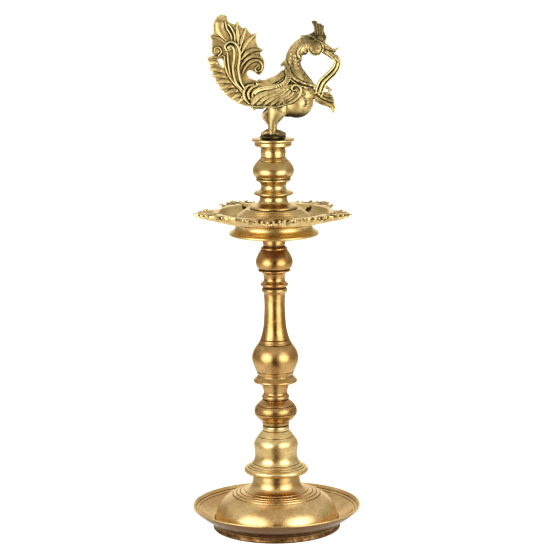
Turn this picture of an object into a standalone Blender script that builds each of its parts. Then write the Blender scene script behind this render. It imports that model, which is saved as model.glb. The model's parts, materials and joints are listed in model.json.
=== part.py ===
"""Brass standing oil lamp (samai) with a five-wick dish and a peacock finial.

Metres, +Z up. The origin is on the lamp's axis, in the plane the foot stands on.
The peacock faces +X and one wick petal of the dish points to the front, -Y.
Lengths below are in millimetres and are turned into metres where the meshes are made.
"""

import math

import bmesh
import bpy
from mathutils import Matrix, Vector

MM = 0.001

# Driving heights of the stack: top shoulder of each casting, and what sits between two castings.
BASE_TOP = 68.0
BELL_TOP = 124.0
KNOP_TOP = 175.6
COLUMN_TOP = 361.0
DISH_TOP = 384.6
PILLAR_TOP = 466.0
GAP = 0.3
WASHER_THICKNESS = 1.0
FINIAL_WASHER_THICKNESS = 0.7
SEAT = WASHER_THICKNESS + 2 * GAP
FINIAL_SEAT = FINIAL_WASHER_THICKNESS + 2 * GAP
BELL_BOTTOM = BASE_TOP + SEAT
KNOP_BOTTOM = BELL_TOP + SEAT
COLUMN_BOTTOM = KNOP_TOP + SEAT
DISH_HUB_BOTTOM = COLUMN_TOP + SEAT
PILLAR_BOTTOM = DISH_TOP + SEAT
FINIAL_BOTTOM = PILLAR_TOP + FINIAL_SEAT

# Driving radii.
TRAY_RADIUS = 100.0
FOOT_OUTER_RADIUS = 76.0
FOOT_INNER_RADIUS = 72.0
PETAL_TIP_RADIUS = 95.5
PETAL_NOTCH_RADIUS = 67.5
PETALS = 5
PETAL_TURN = math.radians(-94.5)

ROUND_STEPS = 24
THREAD_STEPS = 16
PETAL_STEPS = 12
CLEARANCE = 0.35
ENGAGED_TURNS = 4

# Threads: crest radius, pitch and depth of the V.
MAIN_THREAD = (8.0, 3.0, 1.2)
DISH_THREAD = (6.0, 2.5, 1.1)
FINIAL_THREAD = (5.0, 2.0, 0.9)
SHANK_DEPTH = 12.0
FINIAL_SHANK_DEPTH = 5.0


def clear_scene():
    for thing in list(bpy.data.objects):
        bpy.data.objects.remove(thing, do_unlink=True)


def metal(name, colour, roughness, metallic=1.0):
    material = bpy.data.materials.new(name)
    material.use_nodes = True
    shader = material.node_tree.nodes["Principled BSDF"]
    shader.inputs["Base Color"].default_value = (*colour, 1.0)
    shader.inputs["Roughness"].default_value = roughness
    shader.inputs["Metallic"].default_value = metallic
    return material


def add_object(name, mesh_builder, material, smooth=True):
    """A named object from a bmesh whose coordinates are in millimetres."""
    bmesh.ops.remove_doubles(mesh_builder, verts=mesh_builder.verts, dist=1e-5)
    bmesh.ops.recalc_face_normals(mesh_builder, faces=mesh_builder.faces)
    bmesh.ops.scale(mesh_builder, vec=(MM, MM, MM), verts=mesh_builder.verts)
    mesh = bpy.data.meshes.new(name)
    mesh_builder.to_mesh(mesh)
    mesh_builder.free()
    mesh.polygons.foreach_set("use_smooth", [smooth] * len(mesh.polygons))
    thing = bpy.data.objects.new(name, mesh)
    bpy.context.scene.collection.objects.link(thing)
    if material:
        mesh.materials.append(material)
    return thing


def bridge(builder, lower, upper):
    """Quads between two closed rings of equal length."""
    for i in range(len(lower)):
        j = (i + 1) % len(lower)
        builder.faces.new((lower[i], lower[j], upper[j], upper[i]))


def ring(builder, radius, height, steps):
    turns = [2 * math.pi * i / steps for i in range(steps)]
    return [builder.verts.new((radius * math.cos(a), radius * math.sin(a), height)) for a in turns]


def turned(name, outline, material, steps=ROUND_STEPS):
    """A turned piece. The outline runs from the top on the axis, down the outside, and back to the axis."""
    builder = bmesh.new()
    rings = [ring(builder, radius, height, steps) for radius, height in outline if radius > 0]
    for above, below in zip(rings, rings[1:]):
        bridge(builder, above, below)
    builder.faces.new(rings[0])
    builder.faces.new(rings[-1])
    return add_object(name, builder, material)


def washer(name, inner, outer, bottom, thickness, material):
    builder = bmesh.new()
    top = bottom + thickness
    corners = ((inner, top), (outer, top), (outer, bottom), (inner, bottom))
    rings = [ring(builder, radius, height, ROUND_STEPS) for radius, height in corners]
    for i in range(4):
        bridge(builder, rings[i], rings[(i + 1) % 4])
    return add_object(name, builder, material)


def helix_rows(builder, start, pitch, root, crest, first, last):
    """Rows of a right-hand V thread. Even rows lie on the root and odd rows on the crest."""
    rows = {}
    for k in range(first, last + 1):
        radius = root if k % 2 == 0 else crest
        points = ring(builder, radius, 0.0, THREAD_STEPS)
        for i, point in enumerate(points):
            point.co.z = start + pitch * (k / 2 + i / THREAD_STEPS)
        rows[k] = points
    last_step = THREAD_STEPS - 1
    for k in range(first, last):
        for i in range(last_step):
            lower, upper = rows[k], rows[k + 1]
            builder.faces.new((lower[i], lower[i + 1], upper[i + 1]))
            builder.faces.new((lower[i], upper[i + 1], upper[i]))
        if k + 3 <= last:
            lower, upper = rows[k + 2][0], rows[k + 3][0]
            builder.faces.new((rows[k][last_step], lower, upper))
            builder.faces.new((rows[k][last_step], upper, rows[k + 1][last_step]))
    return rows


def thread_solid(builder, thread, start, last, below, above, grow=0.0, first=0):
    """A closed threaded rod. below and above are the plain rings (radius, height) past the thread."""
    major, pitch, depth = thread
    root, crest = major - depth + grow, major + grow
    rows = helix_rows(builder, start, pitch, root, crest, first, last)
    last_step = THREAD_STEPS - 1

    ends = [ring(builder, radius, height, THREAD_STEPS) for radius, height in below]
    for lower, upper in zip(ends, ends[1:]):
        bridge(builder, lower, upper)
    builder.faces.new(ends[0])
    under, bottom = ends[-1], rows[first]
    for i in range(last_step):
        builder.faces.new((under[i], under[i + 1], bottom[i + 1]))
        builder.faces.new((under[i], bottom[i + 1], bottom[i]))
    builder.faces.new((under[last_step], under[0], bottom[0]))
    builder.faces.new((under[last_step], bottom[0], bottom[last_step]))
    builder.faces.new((bottom[last_step], bottom[0], rows[first + 1][0]))
    builder.faces.new((bottom[last_step], rows[first + 1][0], rows[first + 2][0]))

    caps = [ring(builder, radius, height, THREAD_STEPS) for radius, height in above]
    for lower, upper in zip(caps, caps[1:]):
        bridge(builder, lower, upper)
    builder.faces.new(caps[-1])
    over, top = caps[0], rows[last]
    for i in range(last_step):
        builder.faces.new((top[i], top[i + 1], over[i + 1]))
        builder.faces.new((top[i], over[i + 1], over[i]))
    builder.faces.new((top[last_step], top[0], over[0]))
    builder.faces.new((top[last_step], over[0], over[last_step]))
    builder.faces.new((rows[last - 1][last_step], top[0], top[last_step]))
    builder.faces.new((rows[last - 2][last_step], top[0], rows[last - 1][last_step]))


def thread_start(thread, socket_top):
    """Height where a stud's thread begins, fixed for the stud and its socket alike."""
    pitch = thread[1]
    return socket_top - 0.8 - ENGAGED_TURNS * pitch


def stud(name, thread, socket_top, shank_top, material, shank_radius):
    """A stud screwed into a socket whose mouth is at socket_top, with a plain shank above."""
    major, pitch, depth = thread
    root = major - depth
    start = thread_start(thread, socket_top)
    builder = bmesh.new()
    pilot = ((root - 0.7, start - 1.2), (root - 0.1, start - 0.5))
    shank_bottom = socket_top + 0.2
    shank = (
        (root, shank_bottom),
        (shank_radius, shank_bottom + 0.6),
        (shank_radius, shank_top - 0.6),
        (shank_radius - 0.6, shank_top),
    )
    thread_solid(builder, thread, start, 2 * ENGAGED_TURNS - 2, pilot, shank)
    return add_object(name, builder, material)


def cut(target, cutter):
    """Takes the cutter's volume out of the target."""
    cutter.hide_render = True
    cutter.display_type = "WIRE"
    modifier = target.modifiers.new("cut_" + cutter.name, "BOOLEAN")
    modifier.operation = "DIFFERENCE"
    modifier.solver = "EXACT"
    modifier.object = cutter
    bpy.context.view_layer.update()
    graph = bpy.context.evaluated_depsgraph_get()
    shape = bpy.data.meshes.new_from_object(target.evaluated_get(graph))
    target.modifiers.remove(modifier)
    target.data = shape
    bpy.data.objects.remove(cutter, do_unlink=True)


def tap_socket(target, thread, socket_top):
    """A tapped blind hole with a plain relief at its mouth."""
    major, pitch, depth = thread
    start = thread_start(thread, socket_top)
    inner = major - depth + CLEARANCE
    relief = major + CLEARANCE + 0.3
    builder = bmesh.new()
    deepest = start - pitch - 0.8
    thread_solid(
        builder,
        thread,
        start,
        2 * ENGAGED_TURNS - 3,
        ((inner, deepest),),
        ((relief, socket_top - 1.8), (relief, socket_top + 1.0)),
        grow=CLEARANCE,
        first=-2,
    )
    cut(target, add_object("tap", builder, None))


def bore(target, radius, bottom, top):
    """A plain hole along the axis."""
    builder = bmesh.new()
    rings = [ring(builder, radius, height, THREAD_STEPS) for height in (bottom, top)]
    bridge(builder, *rings)
    builder.faces.new(rings[0])
    builder.faces.new(rings[1])
    cut(target, add_object("drill", builder, None))


def shank_hole(target, bottom, depth, shank_radius):
    """The blind hole in a casting's underside that its stud is sweated into."""
    bore(target, shank_radius + GAP, bottom - 1.0, bottom + depth + GAP)


def build_base(material):
    outline = [
        (26.4, BASE_TOP),
        (27.2, 61.0),
        (27.6, 55.0),
        (30.0, 49.5),
        (36.5, 45.4),
        (45.0, 43.6),
        (53.0, 40.4),
        (61.0, 35.0),
        (67.0, 28.5),
        (71.3, 20.5),
        (73.0, 13.0),
        (75.0, 11.2),
        (80.0, 13.2),
        (92.0, 21.2),
        (TRAY_RADIUS - 1.0, 27.6),
        (TRAY_RADIUS, 27.2),
        (TRAY_RADIUS - 0.4, 25.6),
        (91.5, 18.2),
        (81.0, 10.9),
        (77.6, 9.6),
        (76.4, 8.4),
        (75.4, 5.0),
        (FOOT_OUTER_RADIUS, 0.0),
        (FOOT_INNER_RADIUS, 0.0),
        (FOOT_INNER_RADIUS, 8.0),
        (68.3, 20.5),
        (60.0, 31.0),
        (48.0, 37.8),
        (26.0, 41.0),
    ]
    base = turned("base_tray_and_dome", outline, material)
    tap_socket(base, MAIN_THREAD, BASE_TOP)
    return base


def build_bell(material):
    outline = [
        (16.2, BELL_TOP),
        (16.4, 119.0),
        (17.8, 116.6),
        (21.4, 112.9),
        (25.0, 108.0),
        (26.6, 102.0),
        (25.5, 92.0),
        (26.2, 85.0),
        (28.4, 81.0),
        (32.0, 77.6),
        (36.6, 74.2),
        (38.2, 70.2),
        (37.0, 67.8),
        (29.4, 67.4),
        (28.8, BELL_BOTTOM),
    ]
    bell = turned("bell_section", outline, material)
    tap_socket(bell, MAIN_THREAD, BELL_TOP)
    shank_hole(bell, BELL_BOTTOM, SHANK_DEPTH, MAIN_THREAD[0])
    return bell


def build_knop(material):
    outline = [
        (16.2, KNOP_TOP),
        (15.8, 170.2),
        (14.2, 165.3),
        (15.0, 161.0),
        (16.4, 159.0),
        (15.3, 155.8),
        (19.6, 153.2),
        (24.0, 148.3),
        (25.4, 143.0),
        (24.4, 137.6),
        (20.4, 132.6),
        (17.0, 128.8),
        (16.0, KNOP_BOTTOM),
    ]
    knop = turned("knop_section", outline, material)
    tap_socket(knop, MAIN_THREAD, KNOP_TOP)
    shank_hole(knop, KNOP_BOTTOM, SHANK_DEPTH, MAIN_THREAD[0])
    return knop


def build_column(material):
    outline = [
        (15.2, COLUMN_TOP),
        (14.4, 350.0),
        (13.8, 345.0),
        (12.3, 340.7),
        (15.2, 335.8),
        (19.4, 330.0),
        (22.2, 322.2),
        (20.4, 315.0),
        (18.4, 310.6),
        (14.0, 305.2),
        (12.8, 300.8),
        (14.2, 298.0),
        (16.4, 294.2),
        (14.2, 289.6),
        (15.2, 287.0),
        (13.4, 283.4),
        (12.5, 270.0),
        (13.0, 255.0),
        (14.6, 240.0),
        (17.4, 229.6),
        (21.0, 222.4),
        (26.4, 212.8),
        (27.6, 206.5),
        (25.4, 198.0),
        (21.2, 186.0),
        (21.6, 183.8),
        (26.0, 179.8),
        (25.4, COLUMN_BOTTOM),
    ]
    column = turned("column_section", outline, material)
    tap_socket(column, DISH_THREAD, COLUMN_TOP)
    shank_hole(column, COLUMN_BOTTOM, SHANK_DEPTH, MAIN_THREAD[0])
    return column


def build_pillar(material):
    outline = [
        (25.0, PILLAR_TOP),
        (25.0, 463.4),
        (22.0, 462.2),
        (21.8, 457.8),
        (16.3, 455.4),
        (14.3, 451.2),
        (15.2, 444.6),
        (19.6, 439.6),
        (23.2, 434.8),
        (24.6, 429.6),
        (23.2, 424.2),
        (19.6, 419.4),
        (15.6, 413.9),
        (15.1, 409.0),
        (17.4, 405.6),
        (23.1, 403.4),
        (23.0, 401.2),
        (17.6, 398.6),
        (17.0, 394.4),
        (19.4, 390.6),
        (25.2, 388.0),
        (28.0, PILLAR_BOTTOM),
    ]
    pillar = turned("upper_pillar", outline, material)
    tap_socket(pillar, FINIAL_THREAD, PILLAR_TOP)
    shank_hole(pillar, PILLAR_BOTTOM, SHANK_DEPTH, DISH_THREAD[0])
    return pillar


def petal_rim(step):
    """Radius and height of the lip's edge, counted in steps of six degrees from the middle of a petal."""
    radii = (PETAL_TIP_RADIUS, 88.5, 80.0, 80.0, 77.0, 70.5, PETAL_NOTCH_RADIUS)
    heights = (383.0, 382.0, 381.4, 382.4, 381.8, 381.3, 381.2)
    from_middle = min(step % PETAL_STEPS, -step % PETAL_STEPS)
    return radii[from_middle], heights[from_middle]


def dish_outline(step):
    """The dish's closed outline at one angle: bore, mound, oil basin, lip, underside and hub.

    In the middle of each petal the wick channel runs out from the basin through the lip.
    """
    rim_radius, rim_height = petal_rim(step)
    basin_radius, basin_edge = 64.0, 380.6
    belly_radius, belly_height = 60.0, 370.6
    outer_radius, outer_height = rim_radius - 0.8, rim_height - 3.8
    bore_radius = DISH_THREAD[0] + 0.8
    if step % PETAL_STEPS == 0:
        inner_lip = [(basin_radius + 2.0, 375.4), (rim_radius - 9.0, 379.6)]
    else:
        inner_lip = [
            (basin_radius, basin_edge),
            ((basin_radius + rim_radius - 1.7) / 2, (basin_edge + rim_height) / 2),
        ]
    bulge = 3.0 * (PETAL_TIP_RADIUS - rim_radius) / (PETAL_TIP_RADIUS - PETAL_NOTCH_RADIUS)
    under_middle = (
        (belly_radius + outer_radius + bulge) / 2,
        (belly_height + outer_height - bulge) / 2,
    )
    return [
        (bore_radius, DISH_TOP),
        (27.6, DISH_TOP),
        (32.0, DISH_TOP - 1.8),
        (44.0, 376.0),
        (48.0, 371.8),
        (54.0, 371.2),
        (belly_radius, 373.8),
        *inner_lip,
        (rim_radius - 1.7, rim_height),
        (rim_radius, rim_height - 0.4),
        (outer_radius, outer_height),
        under_middle,
        (belly_radius, belly_height),
        (50.5, 368.0),
        (46.2, 364.4),
        (48.6, 360.0),
        (52.4, 356.0),
        (51.8, 353.4),
        (49.4, 353.4),
        (44.0, 361.8),
        (42.6, 368.0),
        (30.0, 375.4),
        (18.4, 375.4),
        (17.2, DISH_HUB_BOTTOM),
        (bore_radius, DISH_HUB_BOTTOM),
    ]


def build_dish(material):
    steps = PETALS * PETAL_STEPS
    builder = bmesh.new()
    columns = []
    for step in range(steps):
        angle = PETAL_TURN + 2 * math.pi * step / steps
        columns.append(
            [
                builder.verts.new((radius * math.cos(angle), radius * math.sin(angle), height))
                for radius, height in dish_outline(step)
            ]
        )
    for i in range(steps):
        near, far = columns[i], columns[(i + 1) % steps]
        for j in range(len(near)):
            k = (j + 1) % len(near)
            builder.faces.new((near[j], near[k], far[k], far[j]))
    return add_object("oil_dish_five_wick", builder, material)


# Peacock: distances from the lamp's axis (+X is forward) and above the foot plate's underside.
TAIL_OUTLINE = (
    (-18, 36), (-36, 38), (-50, 46), (-61, 59), (-69, 74), (-75, 92), (-61, 95),
    (-68, 101), (-69, 109), (-70, 117), (-66, 123), (-66, 133), (-62, 141), (-56, 144),
    (-50, 140), (-46, 134), (-38, 133), (-33, 127), (-26, 127), (-22, 119), (-16, 119),
    (-15, 106), (-10, 102), (-12, 94), (-9, 85), (-10, 76), (-16, 72), (-22, 75),
    (-28, 78), (-30, 70), (-20, 62), (-12, 56),
)
TAIL_HOLE = ((-62, 82), (-57, 84), (-59, 92), (-63, 90))
TAIL_THICKNESS = 7.0


def add_ball(builder, x, z, y, size):
    """An ellipsoid; size holds its half-lengths along X, Y and Z."""
    place = Matrix.Translation((x, y, z)) @ Matrix.Diagonal((*size, 1.0))
    bmesh.ops.create_uvsphere(builder, u_segments=20, v_segments=12, radius=1.0, matrix=place)


def add_limb(builder, points):
    """A rounded limb through points of (x, y, z, radius)."""
    for x, y, z, radius in points:
        add_ball(builder, x, z, y, (radius, radius, radius))
    for (*start, start_radius), (*end, end_radius) in zip(points, points[1:]):
        start, end = Vector(start), Vector(end)
        run = end - start
        turn = run.to_track_quat("Z", "Y").to_matrix().to_4x4()
        place = Matrix.Translation((start + end) / 2) @ turn
        bmesh.ops.create_cone(
            builder, cap_ends=True, segments=16, radius1=start_radius, radius2=end_radius,
            depth=run.length, matrix=place,
        )


def add_plate(builder, outline, thickness):
    """A flat upright plate around the middle plane."""
    sides = []
    for y in (-thickness / 2, thickness / 2):
        sides.append([builder.verts.new((x, y, z)) for x, z in outline])
    bridge(builder, *sides)
    builder.faces.new(sides[0])
    builder.faces.new(sides[1])


def add_peacock_body(builder):
    add_ball(builder, 6, 52, 0, (31, 15, 17))
    add_ball(builder, 34, 44, 0, (19.5, 17, 19.5))
    add_limb(builder, ((14, 0, 58, 15), (20, 0, 74, 11.5), (23, 0, 90, 9.5), (32, 0, 104, 6.5), (44, 0, 106, 7)))
    add_ball(builder, 46, 103, 0, (9, 7, 9))
    add_limb(builder, ((54, 0, 110, 5), (63, 0, 104, 4), (74, 0, 103, 1.8)))
    add_limb(builder, ((54, 0, 102, 4.5), (68, 0, 93, 2.6)))
    add_plate(builder, ((40, 108), (46, 122), (44, 135), (54, 132), (61, 128), (61, 112)), 7)
    add_limb(builder, ((38, 0, 112, 4), (31, 0, 118, 1.8)))


def add_vine(builder):
    add_limb(
        builder,
        ((67, 0, 97, 3), (76, 0, 91, 3.6), (76, 0, 80, 4.4), (68, 0, 69, 5), (56, 0, 61, 5.5), (48, 0, 54, 6)),
    )
    add_plate(builder, ((50, 58), (60, 58), (66, 53), (71, 46), (72, 28), (67, 28), (60, 40), (48, 46)), 7)


def add_wings(builder):
    for side in (-1, 1):
        add_limb(builder, ((-24, side * 7, 40, 3), (2, side * 14, 44, 5), (22, side * 15, 44, 5), (29, side * 14, 53, 5)))
        add_limb(builder, ((-19, side * 8, 55, 4), (10, side * 13, 58, 5), (21, side * 10, 72, 3.5)))


def add_legs(builder):
    for side in (-1, 1):
        add_limb(builder, ((6, side * 7, 38, 10), (2, side * 7, 24, 6.5), (-1, side * 7, 11, 4.2), (-1, side * 7, 4, 4.2)))
        add_limb(builder, ((-1, side * 7, 5, 4), (12, side * 8, 4.5, 3.6)))
        add_limb(builder, ((-1, side * 7, 5, 4), (-12, side * 6, 4.5, 3.4)))
        add_limb(builder, ((0, side * 7, 22, 4), (-10, side * 7, 28, 2)))


def add_foot_plate(builder):
    place = Matrix.Translation((0, 0, 2.6))
    bmesh.ops.create_cone(
        builder, cap_ends=True, segments=24, radius1=15.5, radius2=14.0, depth=7.0, matrix=place
    )


def build_peacock(material):
    builder = bmesh.new()
    add_plate(builder, TAIL_OUTLINE, TAIL_THICKNESS)
    add_limb(builder, ((-26, 0, 56, 6), (-34, 0, 68, 5), (-40, 0, 82, 4.6), (-44, 0, 98, 4.6), (-54, 0, 107, 4.6)))
    add_peacock_body(builder)
    add_vine(builder)
    add_wings(builder)
    add_legs(builder)
    add_foot_plate(builder)
    bmesh.ops.translate(builder, vec=(0, 0, FINIAL_BOTTOM), verts=builder.verts)
    peacock = add_object("peacock_finial", builder, material)

    hole = bmesh.new()
    shifted = tuple((x, z + FINIAL_BOTTOM) for x, z in TAIL_HOLE)
    add_plate(hole, shifted, 4 * TAIL_THICKNESS)
    hole_cutter = add_object("tail_opening", hole, None)

    skin = peacock.modifiers.new("one_casting", "REMESH")
    skin.mode = "VOXEL"
    skin.voxel_size = 3.0 * MM
    soften = peacock.modifiers.new("soften", "SMOOTH")
    soften.factor = 0.5
    soften.iterations = 2
    thin_out = peacock.modifiers.new("thin_out", "DECIMATE")
    thin_out.ratio = 0.42
    cut(peacock, hole_cutter)
    peacock.modifiers.clear()

    slab = bmesh.new()
    bmesh.ops.create_cube(
        slab, size=1.0, matrix=Matrix.Translation((0, 0, FINIAL_BOTTOM - 10)) @ Matrix.Diagonal((80, 80, 20, 1))
    )
    cut(peacock, add_object("plane", slab, None))
    shank_hole(peacock, FINIAL_BOTTOM, FINIAL_SHANK_DEPTH, FINIAL_THREAD[0])
    return peacock


def build_washers(leather):
    washer("bell_joint_washer", 8.8, 26.0, BASE_TOP + GAP, WASHER_THICKNESS, leather)
    washer("knop_joint_washer", 8.8, 15.6, BELL_TOP + GAP, WASHER_THICKNESS, leather)
    washer("column_joint_washer", 8.8, 16.0, KNOP_TOP + GAP, WASHER_THICKNESS, leather)
    washer("dish_seat_washer", 6.8, 15.4, COLUMN_TOP + GAP, WASHER_THICKNESS, leather)
    washer("dish_top_washer", 6.8, 26.6, DISH_TOP + GAP, WASHER_THICKNESS, leather)
    washer("finial_washer", 5.8, 13.4, PILLAR_TOP + GAP, FINIAL_WASHER_THICKNESS, leather)


def build_studs(rod):
    main_radius = MAIN_THREAD[0]
    stud("bell_threaded_stud", MAIN_THREAD, BASE_TOP, BELL_BOTTOM + SHANK_DEPTH, rod, main_radius)
    stud("knop_threaded_stud", MAIN_THREAD, BELL_TOP, KNOP_BOTTOM + SHANK_DEPTH, rod, main_radius)
    stud("column_threaded_stud", MAIN_THREAD, KNOP_TOP, COLUMN_BOTTOM + SHANK_DEPTH, rod, main_radius)
    stud("pillar_threaded_stud", DISH_THREAD, COLUMN_TOP, PILLAR_BOTTOM + SHANK_DEPTH, rod, DISH_THREAD[0])
    stud("finial_threaded_stud", FINIAL_THREAD, PILLAR_TOP, FINIAL_BOTTOM + FINIAL_SHANK_DEPTH, rod, FINIAL_THREAD[0])


def build():
    clear_scene()
    pale_brass = metal("pale_brass", (0.62, 0.45, 0.19), 0.34)
    red_brass = metal("red_brass", (0.55, 0.36, 0.15), 0.34)
    gold_brass = metal("gold_brass", (0.66, 0.50, 0.23), 0.32)
    rod = metal("rod_brass", (0.58, 0.42, 0.18), 0.4)
    leather = metal("leather", (0.10, 0.06, 0.035), 0.8, 0.0)
    build_base(pale_brass)
    build_bell(pale_brass)
    build_knop(red_brass)
    build_column(red_brass)
    build_dish(gold_brass)
    build_pillar(gold_brass)
    build_peacock(gold_brass)
    build_washers(leather)
    build_studs(rod)


build()
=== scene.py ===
"""Finely turned and cast surfaces of the brass standing lamp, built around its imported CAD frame."""

import json
import math

import bmesh
import bpy
import numpy as np
from mathutils import Matrix, Vector


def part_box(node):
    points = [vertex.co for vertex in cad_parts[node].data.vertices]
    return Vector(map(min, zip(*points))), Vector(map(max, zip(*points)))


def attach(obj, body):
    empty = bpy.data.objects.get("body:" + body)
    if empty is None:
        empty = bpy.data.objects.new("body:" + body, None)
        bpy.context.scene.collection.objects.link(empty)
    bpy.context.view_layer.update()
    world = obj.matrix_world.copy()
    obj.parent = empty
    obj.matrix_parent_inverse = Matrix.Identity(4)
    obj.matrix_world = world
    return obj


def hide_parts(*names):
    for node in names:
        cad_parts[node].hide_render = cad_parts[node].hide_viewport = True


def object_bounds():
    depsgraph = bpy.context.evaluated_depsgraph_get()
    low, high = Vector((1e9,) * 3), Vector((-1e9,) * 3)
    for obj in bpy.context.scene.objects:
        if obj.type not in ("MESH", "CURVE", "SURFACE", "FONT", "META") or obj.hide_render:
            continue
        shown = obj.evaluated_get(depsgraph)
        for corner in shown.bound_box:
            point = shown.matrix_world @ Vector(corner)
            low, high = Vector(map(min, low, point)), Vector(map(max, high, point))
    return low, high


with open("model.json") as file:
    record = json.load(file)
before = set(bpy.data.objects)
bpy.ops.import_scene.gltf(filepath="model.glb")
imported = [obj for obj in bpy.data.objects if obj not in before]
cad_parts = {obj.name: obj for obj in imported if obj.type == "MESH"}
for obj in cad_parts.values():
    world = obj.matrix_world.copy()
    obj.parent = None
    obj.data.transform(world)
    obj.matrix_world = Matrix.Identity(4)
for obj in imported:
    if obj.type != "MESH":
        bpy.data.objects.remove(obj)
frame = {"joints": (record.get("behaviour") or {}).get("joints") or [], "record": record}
cad_low, cad_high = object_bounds()

MM = 0.001
TURNED_STEPS = 144
SAMPLE_STEP = 0.8
CORNER_FILLET = 0.35
SHARP = True

BASE, BELL, KNOP, COLUMN = "base_tray_and_dome", "bell_section", "knop_section", "column_section"
DISH, PILLAR, PEACOCK = "oil_dish_five_wick", "upper_pillar", "peacock_finial"


# ---------------------------------------------------------------- frame sizes

def span(node):
    """Lowest and highest corner of a CAD node, in millimetres."""
    low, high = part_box(node)
    return low / MM, high / MM


def body_of_node(node):
    groups = frame["record"]["behaviour"]["bodies"]
    return next(body for body, nodes in groups.items() if node in nodes)


def pitch_of(joint):
    """Millimetres a screwed joint climbs in one turn, from its coupling."""
    couplings = frame["record"]["behaviour"]["couplings"]
    ratio = next(c["ratio"] for c in couplings if c["follows"] == joint)
    return ratio * 2 * math.pi / MM


def turns_of(joint):
    stated = next(j for j in frame["joints"] if j["name"] == joint)
    return stated["range_deg"][1] / 360


# ---------------------------------------------------------------- outlines

def spline(points, step=SAMPLE_STEP, closed=False):
    """Points along a smooth curve through the given points (centripetal Catmull-Rom)."""
    vectors = [Vector(p) for p in points]
    if len(vectors) < 3 and not closed:
        return straight(vectors, step)
    if closed:
        padded = [vectors[-1], *vectors, vectors[0], vectors[1]]
    else:
        first = vectors[0] * 2 - vectors[1]
        last = vectors[-1] * 2 - vectors[-2]
        padded = [first, *vectors, last]
    made = []
    for before, start, end, after in zip(padded, padded[1:], padded[2:], padded[3:]):
        count = max(2, math.ceil((end - start).length / step))
        knots = [0.0]
        for a, b in ((before, start), (start, end), (end, after)):
            knots.append(knots[-1] + max((b - a).length, 1e-6) ** 0.5)
        for i in range(count):
            made.append(catmull(before, start, end, after, knots, i / count))
    if not closed:
        made.append(vectors[-1])
    return made


def catmull(p0, p1, p2, p3, knots, share):
    t0, t1, t2, t3 = knots
    t = t1 + (t2 - t1) * share
    a1 = p0.lerp(p1, (t - t0) / (t1 - t0))
    a2 = p1.lerp(p2, (t - t1) / (t2 - t1))
    a3 = p2.lerp(p3, (t - t2) / (t3 - t2))
    b1 = a1.lerp(a2, (t - t0) / (t2 - t0))
    b2 = a2.lerp(a3, (t - t1) / (t3 - t1))
    return b1.lerp(b2, (t - t1) / (t2 - t1))


def straight(vectors, step):
    made = []
    for start, end in zip(vectors, vectors[1:]):
        count = max(1, math.ceil((end - start).length / step))
        made += [start.lerp(end, i / count) for i in range(count)]
    made.append(vectors[-1])
    return made


def runs_between_corners(points):
    """Splits (radius, height[, SHARP]) points into runs that end at the sharp ones."""
    runs, run = [], []
    for point in points:
        run.append(point[:2])
        if len(point) > 2 and len(run) > 1:
            runs.append(run)
            run = [point[:2]]
    if len(run) > 1:
        runs.append(run)
    return runs


def fine_outline(points, step=SAMPLE_STEP):
    """A dense outline that is smooth between sharp corners, with a small round on each corner."""
    pieces = [spline(run, step) for run in runs_between_corners(points)]
    outline = list(pieces[0])
    for piece in pieces[1:]:
        corner = piece[0]
        back, ahead = outline[-2], piece[1]
        reach = min(CORNER_FILLET, (corner - back).length * 0.45, (ahead - corner).length * 0.45)
        enter = corner + (back - corner).normalized() * reach
        leave = corner + (ahead - corner).normalized() * reach
        middle = (enter + leave) / 4 + corner / 2
        outline[-1:] = [enter, middle, leave]
        outline += piece[1:]
    return outline


def cut_groove(outline, axis, where, width, depth):
    """A rounded line turned into the outline where it first crosses a radius (axis 0) or height (axis 1)."""
    crossing = next(
        i for i in range(len(outline) - 1)
        if (outline[i][axis] - where) * (outline[i + 1][axis] - where) <= 0
    )
    share = (where - outline[crossing][axis]) / ((outline[crossing + 1][axis] - outline[crossing][axis]) or 1)
    centre = outline[crossing].lerp(outline[crossing + 1], share)
    along = (outline[crossing + 1] - outline[crossing]).normalized()
    inward = Vector((along.y, -along.x))
    keep = [p for p in outline if (p - centre).length > width / 2 or abs((p - centre) @ along) > width / 2]
    cut_at = next(i for i, p in enumerate(keep) if p in outline[crossing + 1:])
    steps = 8
    groove = []
    for i in range(steps + 1):
        offset = (i / steps - 0.5) * width
        dip = depth * (0.5 + 0.5 * math.cos(2 * math.pi * offset / width))
        groove.append(centre + along * offset + inward * dip)
    return keep[:cut_at] + groove + keep[cut_at:]


def fit_to(node, outline, overhang=0.0):
    """Stretches an outline drawn in lamp heights onto the CAD node's own box, less what hangs below it."""
    low, high = span(node)
    bottom = low.z - overhang
    radii = [p.x for p in outline]
    heights = [p.y for p in outline]
    wide = high.x / max(radii)
    tall = (high.z - bottom) / (max(heights) - min(heights))
    return [Vector((p.x * wide, bottom + (p.y - min(heights)) * tall)) for p in outline]


# ---------------------------------------------------------------- meshes

def new_piece(name, builder, material, node, smooth=True):
    """Turns a millimetre bmesh into a named piece that stands for a CAD node and rides on its body."""
    bmesh.ops.recalc_face_normals(builder, faces=builder.faces)
    bmesh.ops.scale(builder, vec=(MM, MM, MM), verts=builder.verts)
    mesh = bpy.data.meshes.new(name)
    builder.to_mesh(mesh)
    builder.free()
    mesh.polygons.foreach_set("use_smooth", [smooth] * len(mesh.polygons))
    mesh.materials.append(material)
    piece = bpy.data.objects.new(name, mesh)
    bpy.context.scene.collection.objects.link(piece)
    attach(piece, body_of_node(node))
    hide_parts(node)
    return piece


def thread_wave(height, angle, thread):
    """0 on the root and 1 on the crest of a right-hand V thread, fading out at its ends."""
    start, pitch, first, last = thread
    phase = ((height - start) / pitch - angle / (2 * math.pi)) % 1.0
    wave = 1 - abs(2 * phase - 1)
    fade = min(max((height - first) / (0.6 * pitch), 0), max((last - height) / (0.6 * pitch), 0), 1)
    return wave * fade


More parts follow.
